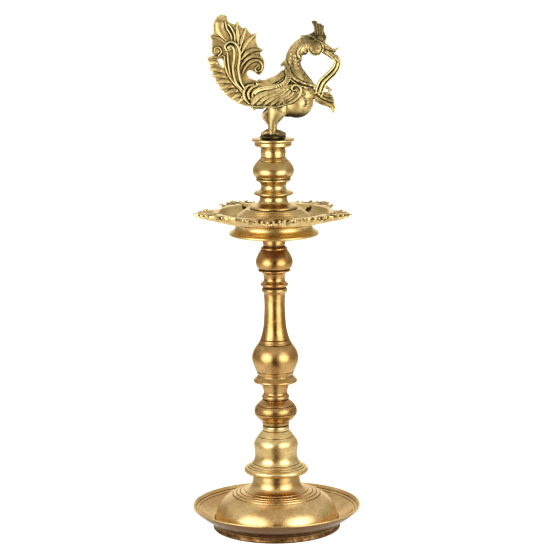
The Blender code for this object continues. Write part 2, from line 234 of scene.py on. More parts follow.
def outline_relief(outline):
    """How far each outline point stands proud of (or below) the shape around it, in millimetres."""
    reach = 1.3
    steps = [(b - a).length for a, b in zip(outline, outline[1:])]
    along = [0.0]
    for step in steps:
        along.append(along[-1] + step)
    marks = []
    for i, point in enumerate(outline):
        total, middle = 0.0, Vector((0, 0))
        for j in range(max(0, i - 14), min(len(outline), i + 15)):
            spacing = (steps[j - 1] if j else steps[0]) + (steps[j] if j < len(steps) else steps[-1])
            weight = spacing * math.exp(-((along[j] - along[i]) / reach) ** 2)
            total += weight
            middle += outline[j] * weight
        run = outline[min(i + 1, len(outline) - 1)] - outline[max(i - 1, 0)]
        outward = Vector((-run.y, run.x)).normalized()
        marks.append((point - middle / total) @ outward)
    return marks


def lathe(builder, outline, steps=TURNED_STEPS, thread=None, root=0.0, crest=0.0):
    """Revolves an outline. Points whose radius equals root inside the thread's span carry the thread."""
    relief = builder.verts.layers.float.get("relief") or builder.verts.layers.float.new("relief")
    rings = []
    for point, mark in zip(outline, outline_relief(outline)):
        if point.x < 1e-6:
            rings.append([builder.verts.new((0, 0, point.y))])
            continue
        verts = []
        for i in range(steps):
            angle = 2 * math.pi * i / steps
            radius = point.x
            if thread and abs(radius - root) < 1e-3 and thread[2] <= point.y <= thread[3]:
                radius += (crest - root) * thread_wave(point.y, angle, thread)
            vert = builder.verts.new((radius * math.cos(angle), radius * math.sin(angle), point.y))
            vert[relief] = mark
            verts.append(vert)
        rings.append(verts)
    skin_rings(builder, rings, steps)
    if len(rings[0]) > 1 and len(rings[-1]) > 1:
        for i in range(steps):
            j = (i + 1) % steps
            builder.faces.new((rings[-1][i], rings[0][i], rings[0][j], rings[-1][j]))


def mark_relief(mesh, rounds):
    """Stores how far every point stands proud of a smoothed copy of its own mesh, in millimetres."""
    count = len(mesh.vertices)
    spots = np.empty(count * 3)
    mesh.vertices.foreach_get("co", spots)
    spots = spots.reshape(-1, 3)
    normals = np.empty(count * 3, dtype=np.float32)
    mesh.vertex_normals.foreach_get("vector", normals)
    normals = normals.reshape(-1, 3)
    edges = np.empty(len(mesh.edges) * 2, dtype=np.int32)
    mesh.edges.foreach_get("vertices", edges)
    edges = edges.reshape(-1, 2)
    near, far = edges[:, 0], edges[:, 1]
    neighbours = np.maximum(np.bincount(edges.ravel(), minlength=count), 1)
    smooth = spots.copy()
    for _ in range(rounds):
        total = np.empty_like(smooth)
        for axis in range(3):
            total[:, axis] = np.bincount(near, smooth[far, axis], count) + np.bincount(far, smooth[near, axis], count)
        smooth = (smooth + total / neighbours[:, None]) / 2
    relief = ((spots - smooth) * normals).sum(axis=1) / MM
    layer = mesh.attributes.get("relief") or mesh.attributes.new("relief", "FLOAT", "POINT")
    layer.data.foreach_set("value", relief.astype(np.float32))


# ---------------------------------------------------------------- threads

# Joint, lower casting, stud: what is screwed into what.
SCREWED = (
    ("bell_unscrew", BASE, "bell_threaded_stud"),
    ("knop_unscrew", BELL, "knop_threaded_stud"),
    ("column_unscrew", KNOP, "column_threaded_stud"),
    ("pillar_unscrew", COLUMN, "pillar_threaded_stud"),
    ("finial_unscrew", PILLAR, "finial_threaded_stud"),
)
THREAD_CLEARANCE = 0.35
PLAIN_END = 0.8
MAIN_DEPTH_SHARE = 0.4


def joint_thread(joint, lower, stud):
    """Sizes of one screwed joint, in millimetres, from the CAD stud and the casting below it."""
    low, high = span(stud)
    pitch = pitch_of(joint)
    mouth = span(lower)[1].z
    crest = high.x
    depth = pitch * MAIN_DEPTH_SHARE
    start = mouth - PLAIN_END - turns_of(joint) * pitch
    return {"mouth": mouth, "pitch": pitch, "crest": crest, "root": crest - depth, "start": start,
            "low": low.z, "high": high.z}


THREADS = {stud: joint_thread(joint, lower, stud) for joint, lower, stud in SCREWED}
SOCKET_OF = {lower: stud for joint, lower, stud in SCREWED}
SHANK_OF = {BELL: "bell_threaded_stud", KNOP: "knop_threaded_stud", COLUMN: "column_threaded_stud",
            PILLAR: "pillar_threaded_stud", PEACOCK: "finial_threaded_stud"}


def socket_outline(size):
    """From the shoulder at the mouth down a tapped hole to the middle of its flat bottom."""
    wall = size["root"] + THREAD_CLEARANCE
    relief = size["crest"] + THREAD_CLEARANCE + 0.3
    mouth, floor = size["mouth"], size["low"] - 1.6
    return [
        Vector((0, floor)),
        *straight([Vector((wall, floor)), Vector((wall, mouth - 1.9))], size["pitch"] / 12),
        Vector((relief, mouth - 1.8)),
        Vector((relief, mouth - 0.5)),
        Vector((relief + 0.5, mouth)),
    ]


def shank_outline(size, bottom):
    """Up the plain hole in a casting's underside that holds its stud."""
    wall = size["bore"] if "bore" in size else size["crest"] + 0.3
    return [Vector((wall + 0.4, bottom)), Vector((wall, bottom + 0.4)), Vector((wall, size["high"] + 0.4)),
            Vector((0, size["high"] + 0.4))]


def casting(node, points, material, grooves=(), overhang=0.0):
    """A turned casting: tapped socket in its top, outline down its outside, stud hole or hollow below."""
    outline = fit_to(node, fine_outline(points), overhang)
    for groove in grooves:
        outline = cut_groove(outline, *groove)
    thread, root, crest = None, 0.0, 0.0
    if node in SOCKET_OF:
        size = THREADS[SOCKET_OF[node]]
        root, crest = size["root"] + THREAD_CLEARANCE, size["crest"] + THREAD_CLEARANCE
        thread = (size["start"], size["pitch"], size["low"] - 1.5, size["mouth"] - 1.9)
        outline = socket_outline(size) + outline
    if node in SHANK_OF:
        outline = outline + shank_outline(THREADS[SHANK_OF[node]], outline[-1].y)
    builder = bmesh.new()
    lathe(builder, outline, thread=thread, root=root, crest=crest)
    return new_piece("fine_" + node, builder, material, node)


def build_stud(stud, material):
    size = THREADS[stud]
    root, crest, mouth = size["root"], size["crest"], size["mouth"]
    first, last = size["low"] + 1.0, mouth - 0.7
    outline = [Vector((0, size["low"])), Vector((root - 0.7, size["low"])), Vector((root, size["low"] + 0.8))]
    outline += straight([Vector((root, first)), Vector((root, last))], size["pitch"] / 12)
    outline += [Vector((root - 0.1, mouth)), Vector((root - 0.1, mouth + 0.3)), Vector((crest, mouth + 0.9))]
    outline += [Vector((crest, size["high"] - 0.6)), Vector((crest - 0.6, size["high"])), Vector((0, size["high"]))]
    builder = bmesh.new()
    lathe(builder, outline, steps=72, thread=(size["start"], size["pitch"], first, last), root=root, crest=crest)
    return new_piece("fine_" + stud, builder, material, stud)


def build_washer(node, material):
    """A packing ring with softly rounded edges, its bore taken from the stud that passes through it."""
    low, high = span(node)
    bores = {"bell_joint_washer": "bell_threaded_stud", "knop_joint_washer": "knop_threaded_stud",
             "column_joint_washer": "column_threaded_stud", "dish_seat_washer": "pillar_threaded_stud",
             "dish_top_washer": "pillar_threaded_stud", "finial_washer": "finial_threaded_stud"}
    inner = THREADS[bores[node]]["crest"] + 0.8
    middle = (low.z + high.z) / 2
    half = (high.z - low.z) / 2
    outer = high.x - half
    outline = []
    for i in range(9):
        angle = math.pi / 2 - math.pi * i / 8
        outline.append(Vector((outer + half * math.cos(angle), middle + half * math.sin(angle))))
    outline += [Vector((inner, low.z)), Vector((inner, high.z))]
    builder = bmesh.new()
    lathe(builder, outline, steps=96)
    return new_piece("fine_" + node, builder, material, node)


# ---------------------------------------------------------------- turned castings
# Outlines run from the top shoulder down the outside: (radius, height above the floor), in millimetres.

def build_base(material):
    points = [
        (27.2, 68, SHARP), (27.2, 66), (27.8, 61), (28.5, 56), (29.8, 52.2), (32, 49.2), (35.6, 46.8), (37.6, 46.0, SHARP),
        (38.0, 45.2, SHARP), (44, 43.9), (50, 41.9), (56, 38.8), (62, 34.4), (67, 28.8), (70.8, 22), (72.6, 16),
        (73, 12.6), (73.7, 11.3, SHARP), (75.6, 11.3), (80, 13.2), (86, 16.8), (92, 21.2), (96.6, 25.2),
        (98.8, 27.6), (99.5, 27.7), (100, 27.2), (99.7, 25.6, SHARP), (97, 23.0), (92, 18.6), (86, 14.4),
        (80.5, 11.3), (78.0, 10.0, SHARP), (77.4, 9.2), (76.4, 8.4, SHARP), (75.3, 7.0), (75.2, 4),
        (76.0, 1.4), (75.8, 0.5), (75.0, 0, SHARP), (72.6, 0, SHARP), (72.0, 0.8, SHARP), (71.9, 8),
        (68.3, 20.5), (60, 31), (48, 37.8), (26, 41), (0, 41),
    ]
    grooves = [
        (0, 43.6, 1.6, 0.8), (0, 48.0, 1.6, 0.8), (0, 52.6, 2.0, 1.0), (0, 93.0, 1.2, 0.45), (0, 95.8, 1.4, 0.7),
    ]
    return casting(BASE, points, material, grooves)


def build_bell(material):
    points = [
        (15.8, 124, SHARP), (16.2, 122.4), (15.9, 119.8), (15.4, 118.4, SHARP), (16.4, 117.8, SHARP),
        (18.4, 115.6), (20.6, 112.8), (22.2, 110.4), (24.2, 107.8), (25.6, 105.0), (26.3, 101.8), (26.1, 98),
        (25.5, 93), (25.3, 89), (25.7, 85.2), (26.9, 81.8), (29.4, 78.4), (32.4, 76.0), (34.8, 74.2, SHARP), (36.6, 73.6),
        (37.9, 72.0), (38.2, 70.2), (37.6, 68.3), (36.0, 67.4, SHARP), (29.6, 67.4, SHARP), (28.9, 68.2), (28.8, 69.6, SHARP),
    ]
    grooves = [(1, 111.6, 1.4, 0.7), (0, 28.6, 1.4, 0.7), (0, 31.6, 1.5, 0.85), (0, 34.2, 1.3, 0.8)]
    return casting(BELL, points, material, grooves)


def build_knop(material):
    points = [
        (16.2, 175.6, SHARP), (15.6, 171), (14.6, 167.6), (14.1, 164.6), (14.4, 162.6), (15.6, 161.2, SHARP),
        (16.4, 159.8), (16.2, 157.8), (15.2, 156.6, SHARP), (15.2, 155.8, SHARP), (17.4, 154.2), (20.8, 151.4),
        (23.4, 148.2), (25.1, 144.8), (25.5, 141.4), (24.8, 137.8), (22.6, 134.6), (19.8, 131.8), (17.4, 129.9, SHARP),
        (16.6, 129.2), (16.4, 127.6), (15.9, 125.6, SHARP),
    ]
    grooves = [(1, 149.6, 1.6, 0.8), (1, 140.2, 1.4, 0.7)]
    return casting(KNOP, points, material, grooves)


def build_column(material):
    points = [
        (15.0, 361, SHARP), (14.4, 352), (13.7, 346), (13.2, 342), (12.5, 340.6, SHARP), (12.9, 339.4), (15.3, 338.4, SHARP),
        (15.7, 337.2), (15.2, 336.2, SHARP), (16.2, 335.0), (18.6, 330.8), (20.8, 326.2), (21.9, 321.6),
        (21.3, 317.4), (19.6, 314.0), (17.4, 312.4, SHARP), (19.4, 311.6, SHARP), (19.0, 310.2), (16.6, 309.2, SHARP), (14.2, 307.6),
        (12.9, 304.4), (12.5, 300.8), (12.9, 298.4), (14.4, 296.8, SHARP), (16.3, 295.2), (16.4, 293.8),
        (15.2, 292.2), (13.7, 291.2, SHARP), (13.6, 290.2, SHARP), (14.9, 289.2), (15.2, 287.4), (14.6, 285.8),
        (13.4, 284.6, SHARP), (12.9, 283.4), (12.5, 278), (12.2, 270), (12.4, 262), (12.9, 252), (13.6, 244),
        (14.7, 238), (16.1, 232.6), (17.7, 228), (19.2, 224.6), (21.6, 221.2), (24.6, 216.8),
        (26.8, 211.6), (27.6, 206.4), (27.0, 201.6), (25.2, 196.4), (23.2, 191.6), (22, 188.4), (21.3, 186.6),
        (21.2, 184.9, SHARP), (21.8, 183.7), (24, 181.4), (25.7, 179.6), (26, 178.5), (25.4, 177.2, SHARP),
    ]
    grooves = [(1, 228.8, 1.5, 0.75), (1, 223.6, 1.5, 0.75), (1, 190.0, 1.5, 0.75)]
    return casting(COLUMN, points, material, grooves)


# The pillar's foot hides its packing ring behind a thin lip.
SKIRT_LIP = 1.3


def build_pillar(material):
    points = [
        (25, 466, SHARP), (25.0, 464.4), (24.4, 463.6, SHARP), (22.2, 462.9, SHARP), (21.8, 461.2), (21.9, 459),
        (21.0, 457.6), (18.6, 456.6, SHARP), (14.0, 455.6, SHARP), (14.2, 454.6), (14.9, 451.8), (14.7, 448.2),
        (14.2, 445.0, SHARP), (15.2, 443.9, SHARP), (16.6, 442.2), (18.6, 440.2), (20.8, 437.6), (23.0, 434.0),
        (24.3, 430.2), (24.0, 426.4), (22.6, 423.2), (20.4, 420.6), (19.2, 419.8, SHARP), (20.6, 419.0, SHARP),
        (20.4, 417.4), (17.2, 415.6), (15.4, 413.4), (14.7, 410.8), (14.8, 408.2), (15.8, 406.4), (17.6, 405.6),
        (21, 404.6), (23, 403.4), (23.3, 402.2), (22.6, 401.2), (20.0, 400.2), (16.8, 399.6, SHARP),
        (16.2, 398.4), (16.2, 395.4), (16.9, 392.8), (18.4, 390.8), (20.4, 389.6, SHARP), (21.2, 389.2, SHARP),
        (24.2, 388.3), (26.6, 387.6), (27.7, 386.9), (28, 385.9), (27.9, 384.9, SHARP), (27.2, 384.9, SHARP),
        (27.0, 386.2, SHARP),
    ]
    return casting(PILLAR, points, material, [(1, 441.2, 1.2, 0.5), (1, 421.6, 1.3, 0.6)], overhang=SKIRT_LIP)


# ---------------------------------------------------------------- oil dish

PETALS = 5
PETAL_TURN = math.radians(-94.5)
PETAL_STEPS = 120
BASIN_EDGE = Vector((64.9, 381.3))
BELLY = Vector((60.0, 370.2))
LIP_THICKNESS = 2.4
EDGE_ROUND = 0.8
WICK_CHANNEL_END = 89.0
# Degrees from a petal's middle and the lip's radius there, without its cusps.
LIP_STATIONS = ((0, 92.5), (3.8, 88.8), (8.2, 84.6), (11.4, 82.6), (13.6, 79.0), (15.8, 76.6), (18, 76.6), (21.6, 76.0),
                (26, 73.2), (31, 69.6), (36, 67.5))
# Degrees from a petal's middle, how far the cusp reaches out, and its half width in degrees.
CUSPS = ((0, 5.0, 1.7), (4.4, 2.6, 1.4), (8.8, 4.0, 2.0), (13.6, 1.6, 1.5), (19.4, 6.8, 2.5), (24.0, 1.6, 1.6))


def degrees_off(turn):
    """Degrees between a direction and the middle of its nearest petal."""
    petal = 360.0 / PETALS
    return abs((math.degrees(turn) + petal / 2) % petal - petal / 2)


def lip_radius(off):
    for (near, near_radius), (far, far_radius) in zip(LIP_STATIONS, LIP_STATIONS[1:]):
        if off <= far:
            return near_radius + (far_radius - near_radius) * ease((off - near) / (far - near))
    return LIP_STATIONS[-1][1]


def cusp_reach(off):
    return sum(reach * max(0.0, 1 - abs(off - middle) / half) ** 1.2 for middle, reach, half in CUSPS)


def hand_made(turn):
    """No two cusps are quite alike."""
    return 0.92 + 0.22 * math.sin(7 * turn)


def lip_height(off):
    """The lip rises a little towards the petal's tip."""
    return BASIN_EDGE.y + 0.9 * ease(1 - off / 30)


def polar(radius, angle):
    return radius * math.cos(angle), radius * math.sin(angle)


def ease(share):
    share = min(max(share, 0.0), 1.0)
    return share * share * (3 - 2 * share)


def channel_share(radius, off):
    """1 on the floor of the wick channel that runs out along the petal's middle, 0 beside it."""
    aside = radius * math.sin(math.radians(off))
    half = 4.3 - 2.2 * ease((radius - BELLY.x) / (WICK_CHANNEL_END - BELLY.x))
    return ease((half - aside) / 1.3 + 0.5) * ease((WICK_CHANNEL_END - radius) / 3)


def basin_wall(share):
    """The concave inner wall of the oil basin, from its floor (0) to its top edge (1)."""
    floor = Vector((47.8, 371.0))
    return Vector((floor.x + (BASIN_EDGE.x - floor.x) * share, floor.y + (BASIN_EDGE.y - floor.y) * share ** 4.2))


def petal_column(turn, boss, under):
    """The dish's closed outline at one angle: mound, basin, lip, cusp edge, belly and hub."""
    off = degrees_off(turn)
    plain, reach = lip_radius(off), cusp_reach(off) * hand_made(turn)
    edge_height = lip_height(off)
    rim = plain + reach
    outline = list(boss)
    for i in range(1, BASIN_POINTS + 1):
        spot = basin_wall(i / BASIN_POINTS)
        floor = 371.2 + 0.30 * max(0, spot.x - 58)
        spot.y += (min(floor, spot.y) - spot.y) * channel_share(spot.x, off)
        outline.append(spot)
    crease = (min(reach, 3.0) / 3.0 - 0.45) * ease((27 - off) / 4)
    for i in range(1, LIP_POINTS + 1):
        share = i / LIP_POINTS
        radius = BASIN_EDGE.x + (rim - EDGE_ROUND - BASIN_EDGE.x) * share
        height = BASIN_EDGE.y + (edge_height - BASIN_EDGE.y) * ease(share)
        height += 1.1 * crease * ease((share - 0.35) / 0.5)
        floor = 373.3 + 0.27 * (radius - BASIN_EDGE.x)
        height += (floor - height) * channel_share(radius, off)
        outline.append(Vector((radius, height)))
    top = outline[-1].y
    for angle in (1.5, 1.0, 0.4, -0.3):
        outline.append(Vector((rim - EDGE_ROUND + EDGE_ROUND * math.cos(angle), top - EDGE_ROUND + EDGE_ROUND * math.sin(angle))))
    shoulder = Vector((plain - 0.6, edge_height - LIP_THICKNESS - 0.8 - 1.7 * ease(1 - off / 24)))
    outline.append(Vector((rim - 0.5, top - LIP_THICKNESS)))
    outline.append(Vector((plain + 0.35 * reach, (top + edge_height) / 2 - LIP_THICKNESS - 0.3)))
    fullness = 1.6 + 1.9 * ((LIP_STATIONS[0][1] - plain) / (LIP_STATIONS[0][1] - LIP_STATIONS[-1][1])) ** 2
    for i in range(BELLY_POINTS + 1):
        share = 1 - i / BELLY_POINTS
        flute = 0.9 * crease * ease((share - 0.72) / 0.2)
        outline.append(Vector((BELLY.x + (shoulder.x - BELLY.x) * share + flute,
                               BELLY.y + (shoulder.y - BELLY.y) * share ** fullness)))
    return outline + list(under)


BASIN_POINTS, LIP_POINTS, BELLY_POINTS = 30, 26, 22


def build_dish(material):
    """A round oil basin with a central mound; its lip grows into five cusped petals, each with a wick channel."""
    bore = THREADS["pillar_threaded_stud"]["crest"] + 0.8
    bottom = span("dish_seat_washer")[1].z + 0.3
    top = span("dish_top_washer")[0].z - 0.3
    boss = straight([Vector((bore, top)), Vector((26.8, top))], 4) + fine_outline(
        [(26.8, top), (32.2, top, SHARP), (32.9, top - 0.7, SHARP), (34.6, top - 1.9), (36.2, top - 3.0), (38.4, top - 4.6),
         (41.2, top - 6.6), (43.4, top - 8.2, SHARP), (44.4, top - 9.2), (45.6, top - 11.4), (47.8, 371.0)], 0.7)
    for radius in (30.2, 34.8, 37.4):
        boss = cut_groove(boss, 0, radius, 1.1, 0.45)
    under = fine_outline(
        [(BELLY.x - 0.4, BELLY.y), (55.6, 369.6), (50.6, 368.6), (48.0, 367.9, SHARP), (46.6, 367.3), (45.8, 366.5, SHARP),
         (45.4, 364.8), (45.4, 362.9), (46.1, 361.0), (47.6, 359.3), (49.8, 358.0, SHARP), (50.2, 357.2, SHARP), (51.8, 356.8),
         (52.6, 355.8), (52.6, 354.5), (51.9, 353.5), (50.6, 353.0, SHARP), (49.4, 353.0, SHARP), (44, 361.4),
         (42.6, 368.0, SHARP), (30, 375.0), (18.4, 375.0, SHARP), (17.2, bottom, SHARP), (bore + 0.4, bottom)], 0.8)
    under.append(Vector((bore, bottom + 0.4)))
    steps = PETALS * PETAL_STEPS
    builder = bmesh.new()
    columns = []
    for step in range(steps):
        turn = 2 * math.pi * step / steps
        outline = petal_column(turn, boss, under)
        columns.append([builder.verts.new((*polar(p.x, PETAL_TURN + turn), p.y)) for p in outline])
    for near, far in zip(columns, columns[1:] + columns[:1]):
        for j in range(len(near)):
            k = (j + 1) % len(near)
            builder.faces.new((near[j], near[k], far[k], far[j]))
    add_petal_ornaments(builder)
    dish = new_piece("fine_" + DISH, builder, material, DISH)
    mark_relief(dish.data, 10)
    darken_petal_edges(dish.data)
    return dish


def add_ball(builder, centre, size, turn=0.0, segments=20):
    """An ellipsoid, turned about the upright axis."""
    place = Matrix.Translation(centre) @ Matrix.Rotation(turn, 4, "Z") @ Matrix.Diagonal((*size, 1.0))
    rows = segments // 2 + 2
    rings = [[builder.verts.new(place @ Vector((0, 0, 1)))]]
    for row in range(1, rows):
        fall = math.pi * row / rows
        rings.append([
            builder.verts.new(place @ Vector((
                math.sin(fall) * math.cos(2 * math.pi * i / segments),
                math.sin(fall) * math.sin(2 * math.pi * i / segments),
                math.cos(fall),
            )))
            for i in range(segments)
        ])
    rings.append([builder.verts.new(place @ Vector((0, 0, -1)))])
    skin_rings(builder, rings, segments)


def skin_rings(builder, rings, steps):
    """Joins neighbouring rings of points with faces. A ring of one point closes to a tip."""
    for upper, lower in zip(rings, rings[1:]):
        for i in range(steps):
            j = (i + 1) % steps
            corners = [upper[i % len(upper)], lower[i % len(lower)], lower[j % len(lower)], upper[j % len(upper)]]
            unique = list(dict.fromkeys(corners))
            if len(unique) > 2:
                builder.faces.new(unique)


def darken_petal_edges(mesh):
    """The relief counts as deeper round the cusps, so they come out darker there."""
    for vertex, mark in zip(mesh.vertices, mesh.attributes["relief"].data):
        radius = math.hypot(vertex.co.x, vertex.co.y) / MM
        off = degrees_off(math.atan2(vertex.co.y, vertex.co.x) - PETAL_TURN)
        height = vertex.co.z / MM
        cluster = ease((off - 3.5) / 2) * ease((13 - off) / 2) + 0.7 * ease((off - 19) / 2) * ease((25 - off) / 2)
        mark.value -= 0.22 * cluster * ease((radius - 69) / 3) * ease((height - 374) / 4)


def add_petal_ornaments(builder):
    """The cast buds and curled lobes along each petal's edge."""
    buds = ((4.4, 2.2, 1.0), (8.8, 2.4, 1.4), (14.0, 1.6, 1.1), (19.4, 3.6, 1.9))
    for petal in range(PETALS):
        middle = PETAL_TURN + 2 * math.pi * petal / PETALS
        for offset, inset, size in buds:
            for side in (-1, 1):
                wobble = math.sin(petal * 2.1 + side * 1.3 + offset)
                angle = middle + side * math.radians(offset + 0.5 * wobble)
                spot = Vector((*polar(lip_radius(offset) + cusp_reach(offset) - inset, angle), lip_height(offset) + 0.1))
                add_ball(builder, spot, (size * 1.6, size * (0.95 + 0.3 * wobble), size * (0.75 + 0.15 * wobble)), angle, 14)


# ---------------------------------------------------------------- peacock
# Points are (forward from the lamp's axis, height above the foot plate's underside), in millimetres.

VOXEL = 0.5


def limb(builder, stations, sides=14, step=1.6):
    """A rounded member through stations of (x, z, y, half width in the bird's plane, half depth)."""
    path = spline5(stations, step)
    rings = []
    count = len(path)
    for i, (x, z, y, half, deep) in enumerate(path):
        before, after = path[max(i - 1, 0)], path[min(i + 1, count - 1)]
        run = Vector((after[0] - before[0], after[2] - before[2], after[1] - before[1])).normalized()
        side = Vector((-run.z, 0, run.x))
        side = side.normalized() if side.length > 1e-4 else Vector((1, 0, 0))
        across = run.cross(side).normalized()
        rings.append((Vector((x, y, z)), side, across, half, deep, run))
    verts = []
    first, last = rings[0], rings[-1]
    for shrink, push in ((0.35, -0.9), (0.75, -0.6)):
        verts.append(limb_ring(builder, first, shrink, push, sides))
    for station in rings:
        verts.append(limb_ring(builder, station, 1.0, 0.0, sides))
    for shrink, push in ((0.75, 0.6), (0.35, 0.9)):
        verts.append(limb_ring(builder, last, shrink, push, sides))
    for lower, upper in zip(verts, verts[1:]):
        for i in range(sides):
            j = (i + 1) % sides
            builder.faces.new((lower[i], lower[j], upper[j], upper[i]))
    builder.faces.new(verts[0])
    builder.faces.new(verts[-1])


def limb_ring(builder, station, shrink, push, sides):
    centre, side, across, half, deep, run = station
    centre = centre + run * push * min(half, deep)
    made = []
    for i in range(sides):
        angle = 2 * math.pi * i / sides
        made.append(builder.verts.new(
            centre + side * (half * shrink * math.cos(angle)) + across * (deep * shrink * math.sin(angle))
        ))
    return made


def spline5(stations, step):
    """Smooth path through five-number stations: places follow a spline, sizes follow it linearly."""
    places = [Vector((s[0], s[1], s[2])) for s in stations]
    made = []
    padded = [places[0] * 2 - places[1], *places, places[-1] * 2 - places[-2]]
    for n, (before, start, end, after) in enumerate(zip(padded, padded[1:], padded[2:], padded[3:])):
        count = max(2, math.ceil((end - start).length / step))
        knots = [0.0]
        for a, b in ((before, start), (start, end), (end, after)):
            knots.append(knots[-1] + max((b - a).length, 1e-6) ** 0.5)
        for i in range(count + (n == len(places) - 2)):
            share = i / count
            spot = catmull(before, start, end, after, knots, share)
            half = stations[n][3] + (stations[n + 1][3] - stations[n][3]) * share
            deep = stations[n][4] + (stations[n + 1][4] - stations[n][4]) * share
            made.append((spot.x, spot.y, spot.z, half, deep))
    return made


def flat_limb(builder, points, half, deep, y=0.0, taper=1.0):
    """A rib of even depth whose width runs from half to half times taper."""
    count = len(points) - 1
    limb(builder, [(x, z, y, half * (1 + (taper - 1) * i / count), deep) for i, (x, z) in enumerate(points)])


def plate(builder, points, half_thickness, y=0.0):
    """An upright plate with a smooth outline that may have sharp cusps."""
    outline = fine_outline(list(points) + [points[0]], 1.2)[:-1]
    sides = []
    for side in (-1, 1):
        sides.append([builder.verts.new((p.x, y + side * half_thickness, p.y)) for p in outline])
    count = len(outline)
    for i in range(count):
        j = (i + 1) % count
        builder.faces.new((sides[0][i], sides[0][j], sides[1][j], sides[1][i]))
    builder.faces.new(sides[0])
    builder.faces.new(sides[1])


def volute(builder, centre, radius, turns, start, half, deep, y=0.0, inward=0.25):
    """A spiral scroll that winds in towards its centre."""
    count = max(8, int(10 * abs(turns)))
    stations = []
    for i in range(count + 1):
        share = i / count
        angle = start + 2 * math.pi * turns * share
        reach = radius * (1 - (1 - inward) * share)
        stations.append((centre[0] + reach * math.cos(angle), centre[1] + reach * math.sin(angle), y,
                         half * (1 - 0.35 * share), deep))
    limb(builder, stations, step=1.0)


TAIL_EDGE = (
    (-24.7, 35.6, SHARP), (-34, 38), (-43.4, 42.6), (-52.7, 49), (-58.6, 56), (-64.4, 64.4), (-69, 76), (-72.8, 86),
    (-75.8, 93, SHARP), (-70.4, 95, SHARP), (-67.4, 95.6), (-69.8, 98.6), (-70.4, 102), (-69.8, 108), (-69.2, 113, SHARP),
    (-72.4, 118, SHARP), (-67.4, 121.4, SHARP), (-68, 127), (-67, 133), (-63.6, 140), (-57.4, 143.2), (-52, 141),
    (-50.2, 134.6, SHARP), (-42.8, 131.2, SHARP), (-39.6, 135.6, SHARP), (-37, 130.6), (-33.4, 126.6, SHARP),
    (-29.6, 128.6, SHARP), (-27, 123.6), (-23.2, 119.6, SHARP), (-17.4, 121.8, SHARP), (-18.2, 113.6),
    (-16.2, 105, SHARP), (-10, 102.2, SHARP), (-13.6, 97), (-9.6, 91), (-9.2, 82.4), (-12.3, 75), (-15.8, 73.2),
    (-21.6, 76.6), (-26.2, 78.6), (-29, 76), (-27.8, 71), (-22.4, 67.6), (-15.6, 66, SHARP), (-16, 50, SHARP),
)
TAIL_OPENING = ((-63, 91.8), (-58.2, 91.6), (-56.6, 86.6), (-56.8, 82.2), (-59.6, 84.8), (-61.6, 88.4))
TAIL_HALF = 2.6


def rib(builder, points, deep, y=0.0, sides=14):
    """A rib through (x, z, half width) points, standing deep to each side of the plane at y."""
    limb(builder, [(x, z, y, half, deep) for x, z, half in points], sides=sides)


def add_tail(builder):
    plate(builder, TAIL_EDGE, TAIL_HALF)
    add_outer_feathers(builder)
    add_plume_lobes(builder)
    add_scroll_rib(builder)
    add_root_knot(builder)


def add_outer_feathers(builder):
    """Overlapping feathers along the lower back of the tail, each with a crisp lower edge."""
    feathers = (
        ((-70.6, 87.4), (-64.4, 87.2)), ((-70.4, 80.6), (-59.4, 78.4)), ((-67.4, 72.8), (-56, 71.8)),
        ((-63.6, 65.2), (-51.4, 65.8)), ((-59.2, 58.2), (-46.4, 60.4)), ((-53.4, 51.8), (-41.6, 55.6)),
        ((-46.4, 46.2), (-36.8, 51)), ((-38.6, 41.8), (-32, 46.4)),
    )
    for (x0, z0), (x1, z1) in feathers:
        middle = ((x0 + x1) / 2, (z0 + z1) / 2 + 0.9)
        limb(builder, [(x0, z0, 0, 2.5, 3.2), (*middle, 0, 3.3, 4.1), (x1, z1, 0, 2.9, 3.6)])
    rib(builder, ((-55.2, 95, 1.5), (-54.6, 86, 1.8), (-53, 79, 2.0), (-49.4, 71.4, 2.1), (-43.6, 63.6, 2.1),
                  (-36.8, 56.4, 2.1), (-32.6, 49.6, 2)), 4.2)
    rib(builder, ((-69, 94.4, 1.2), (-62.4, 94.4, 1.5), (-57, 96, 1.4)), 3.8)


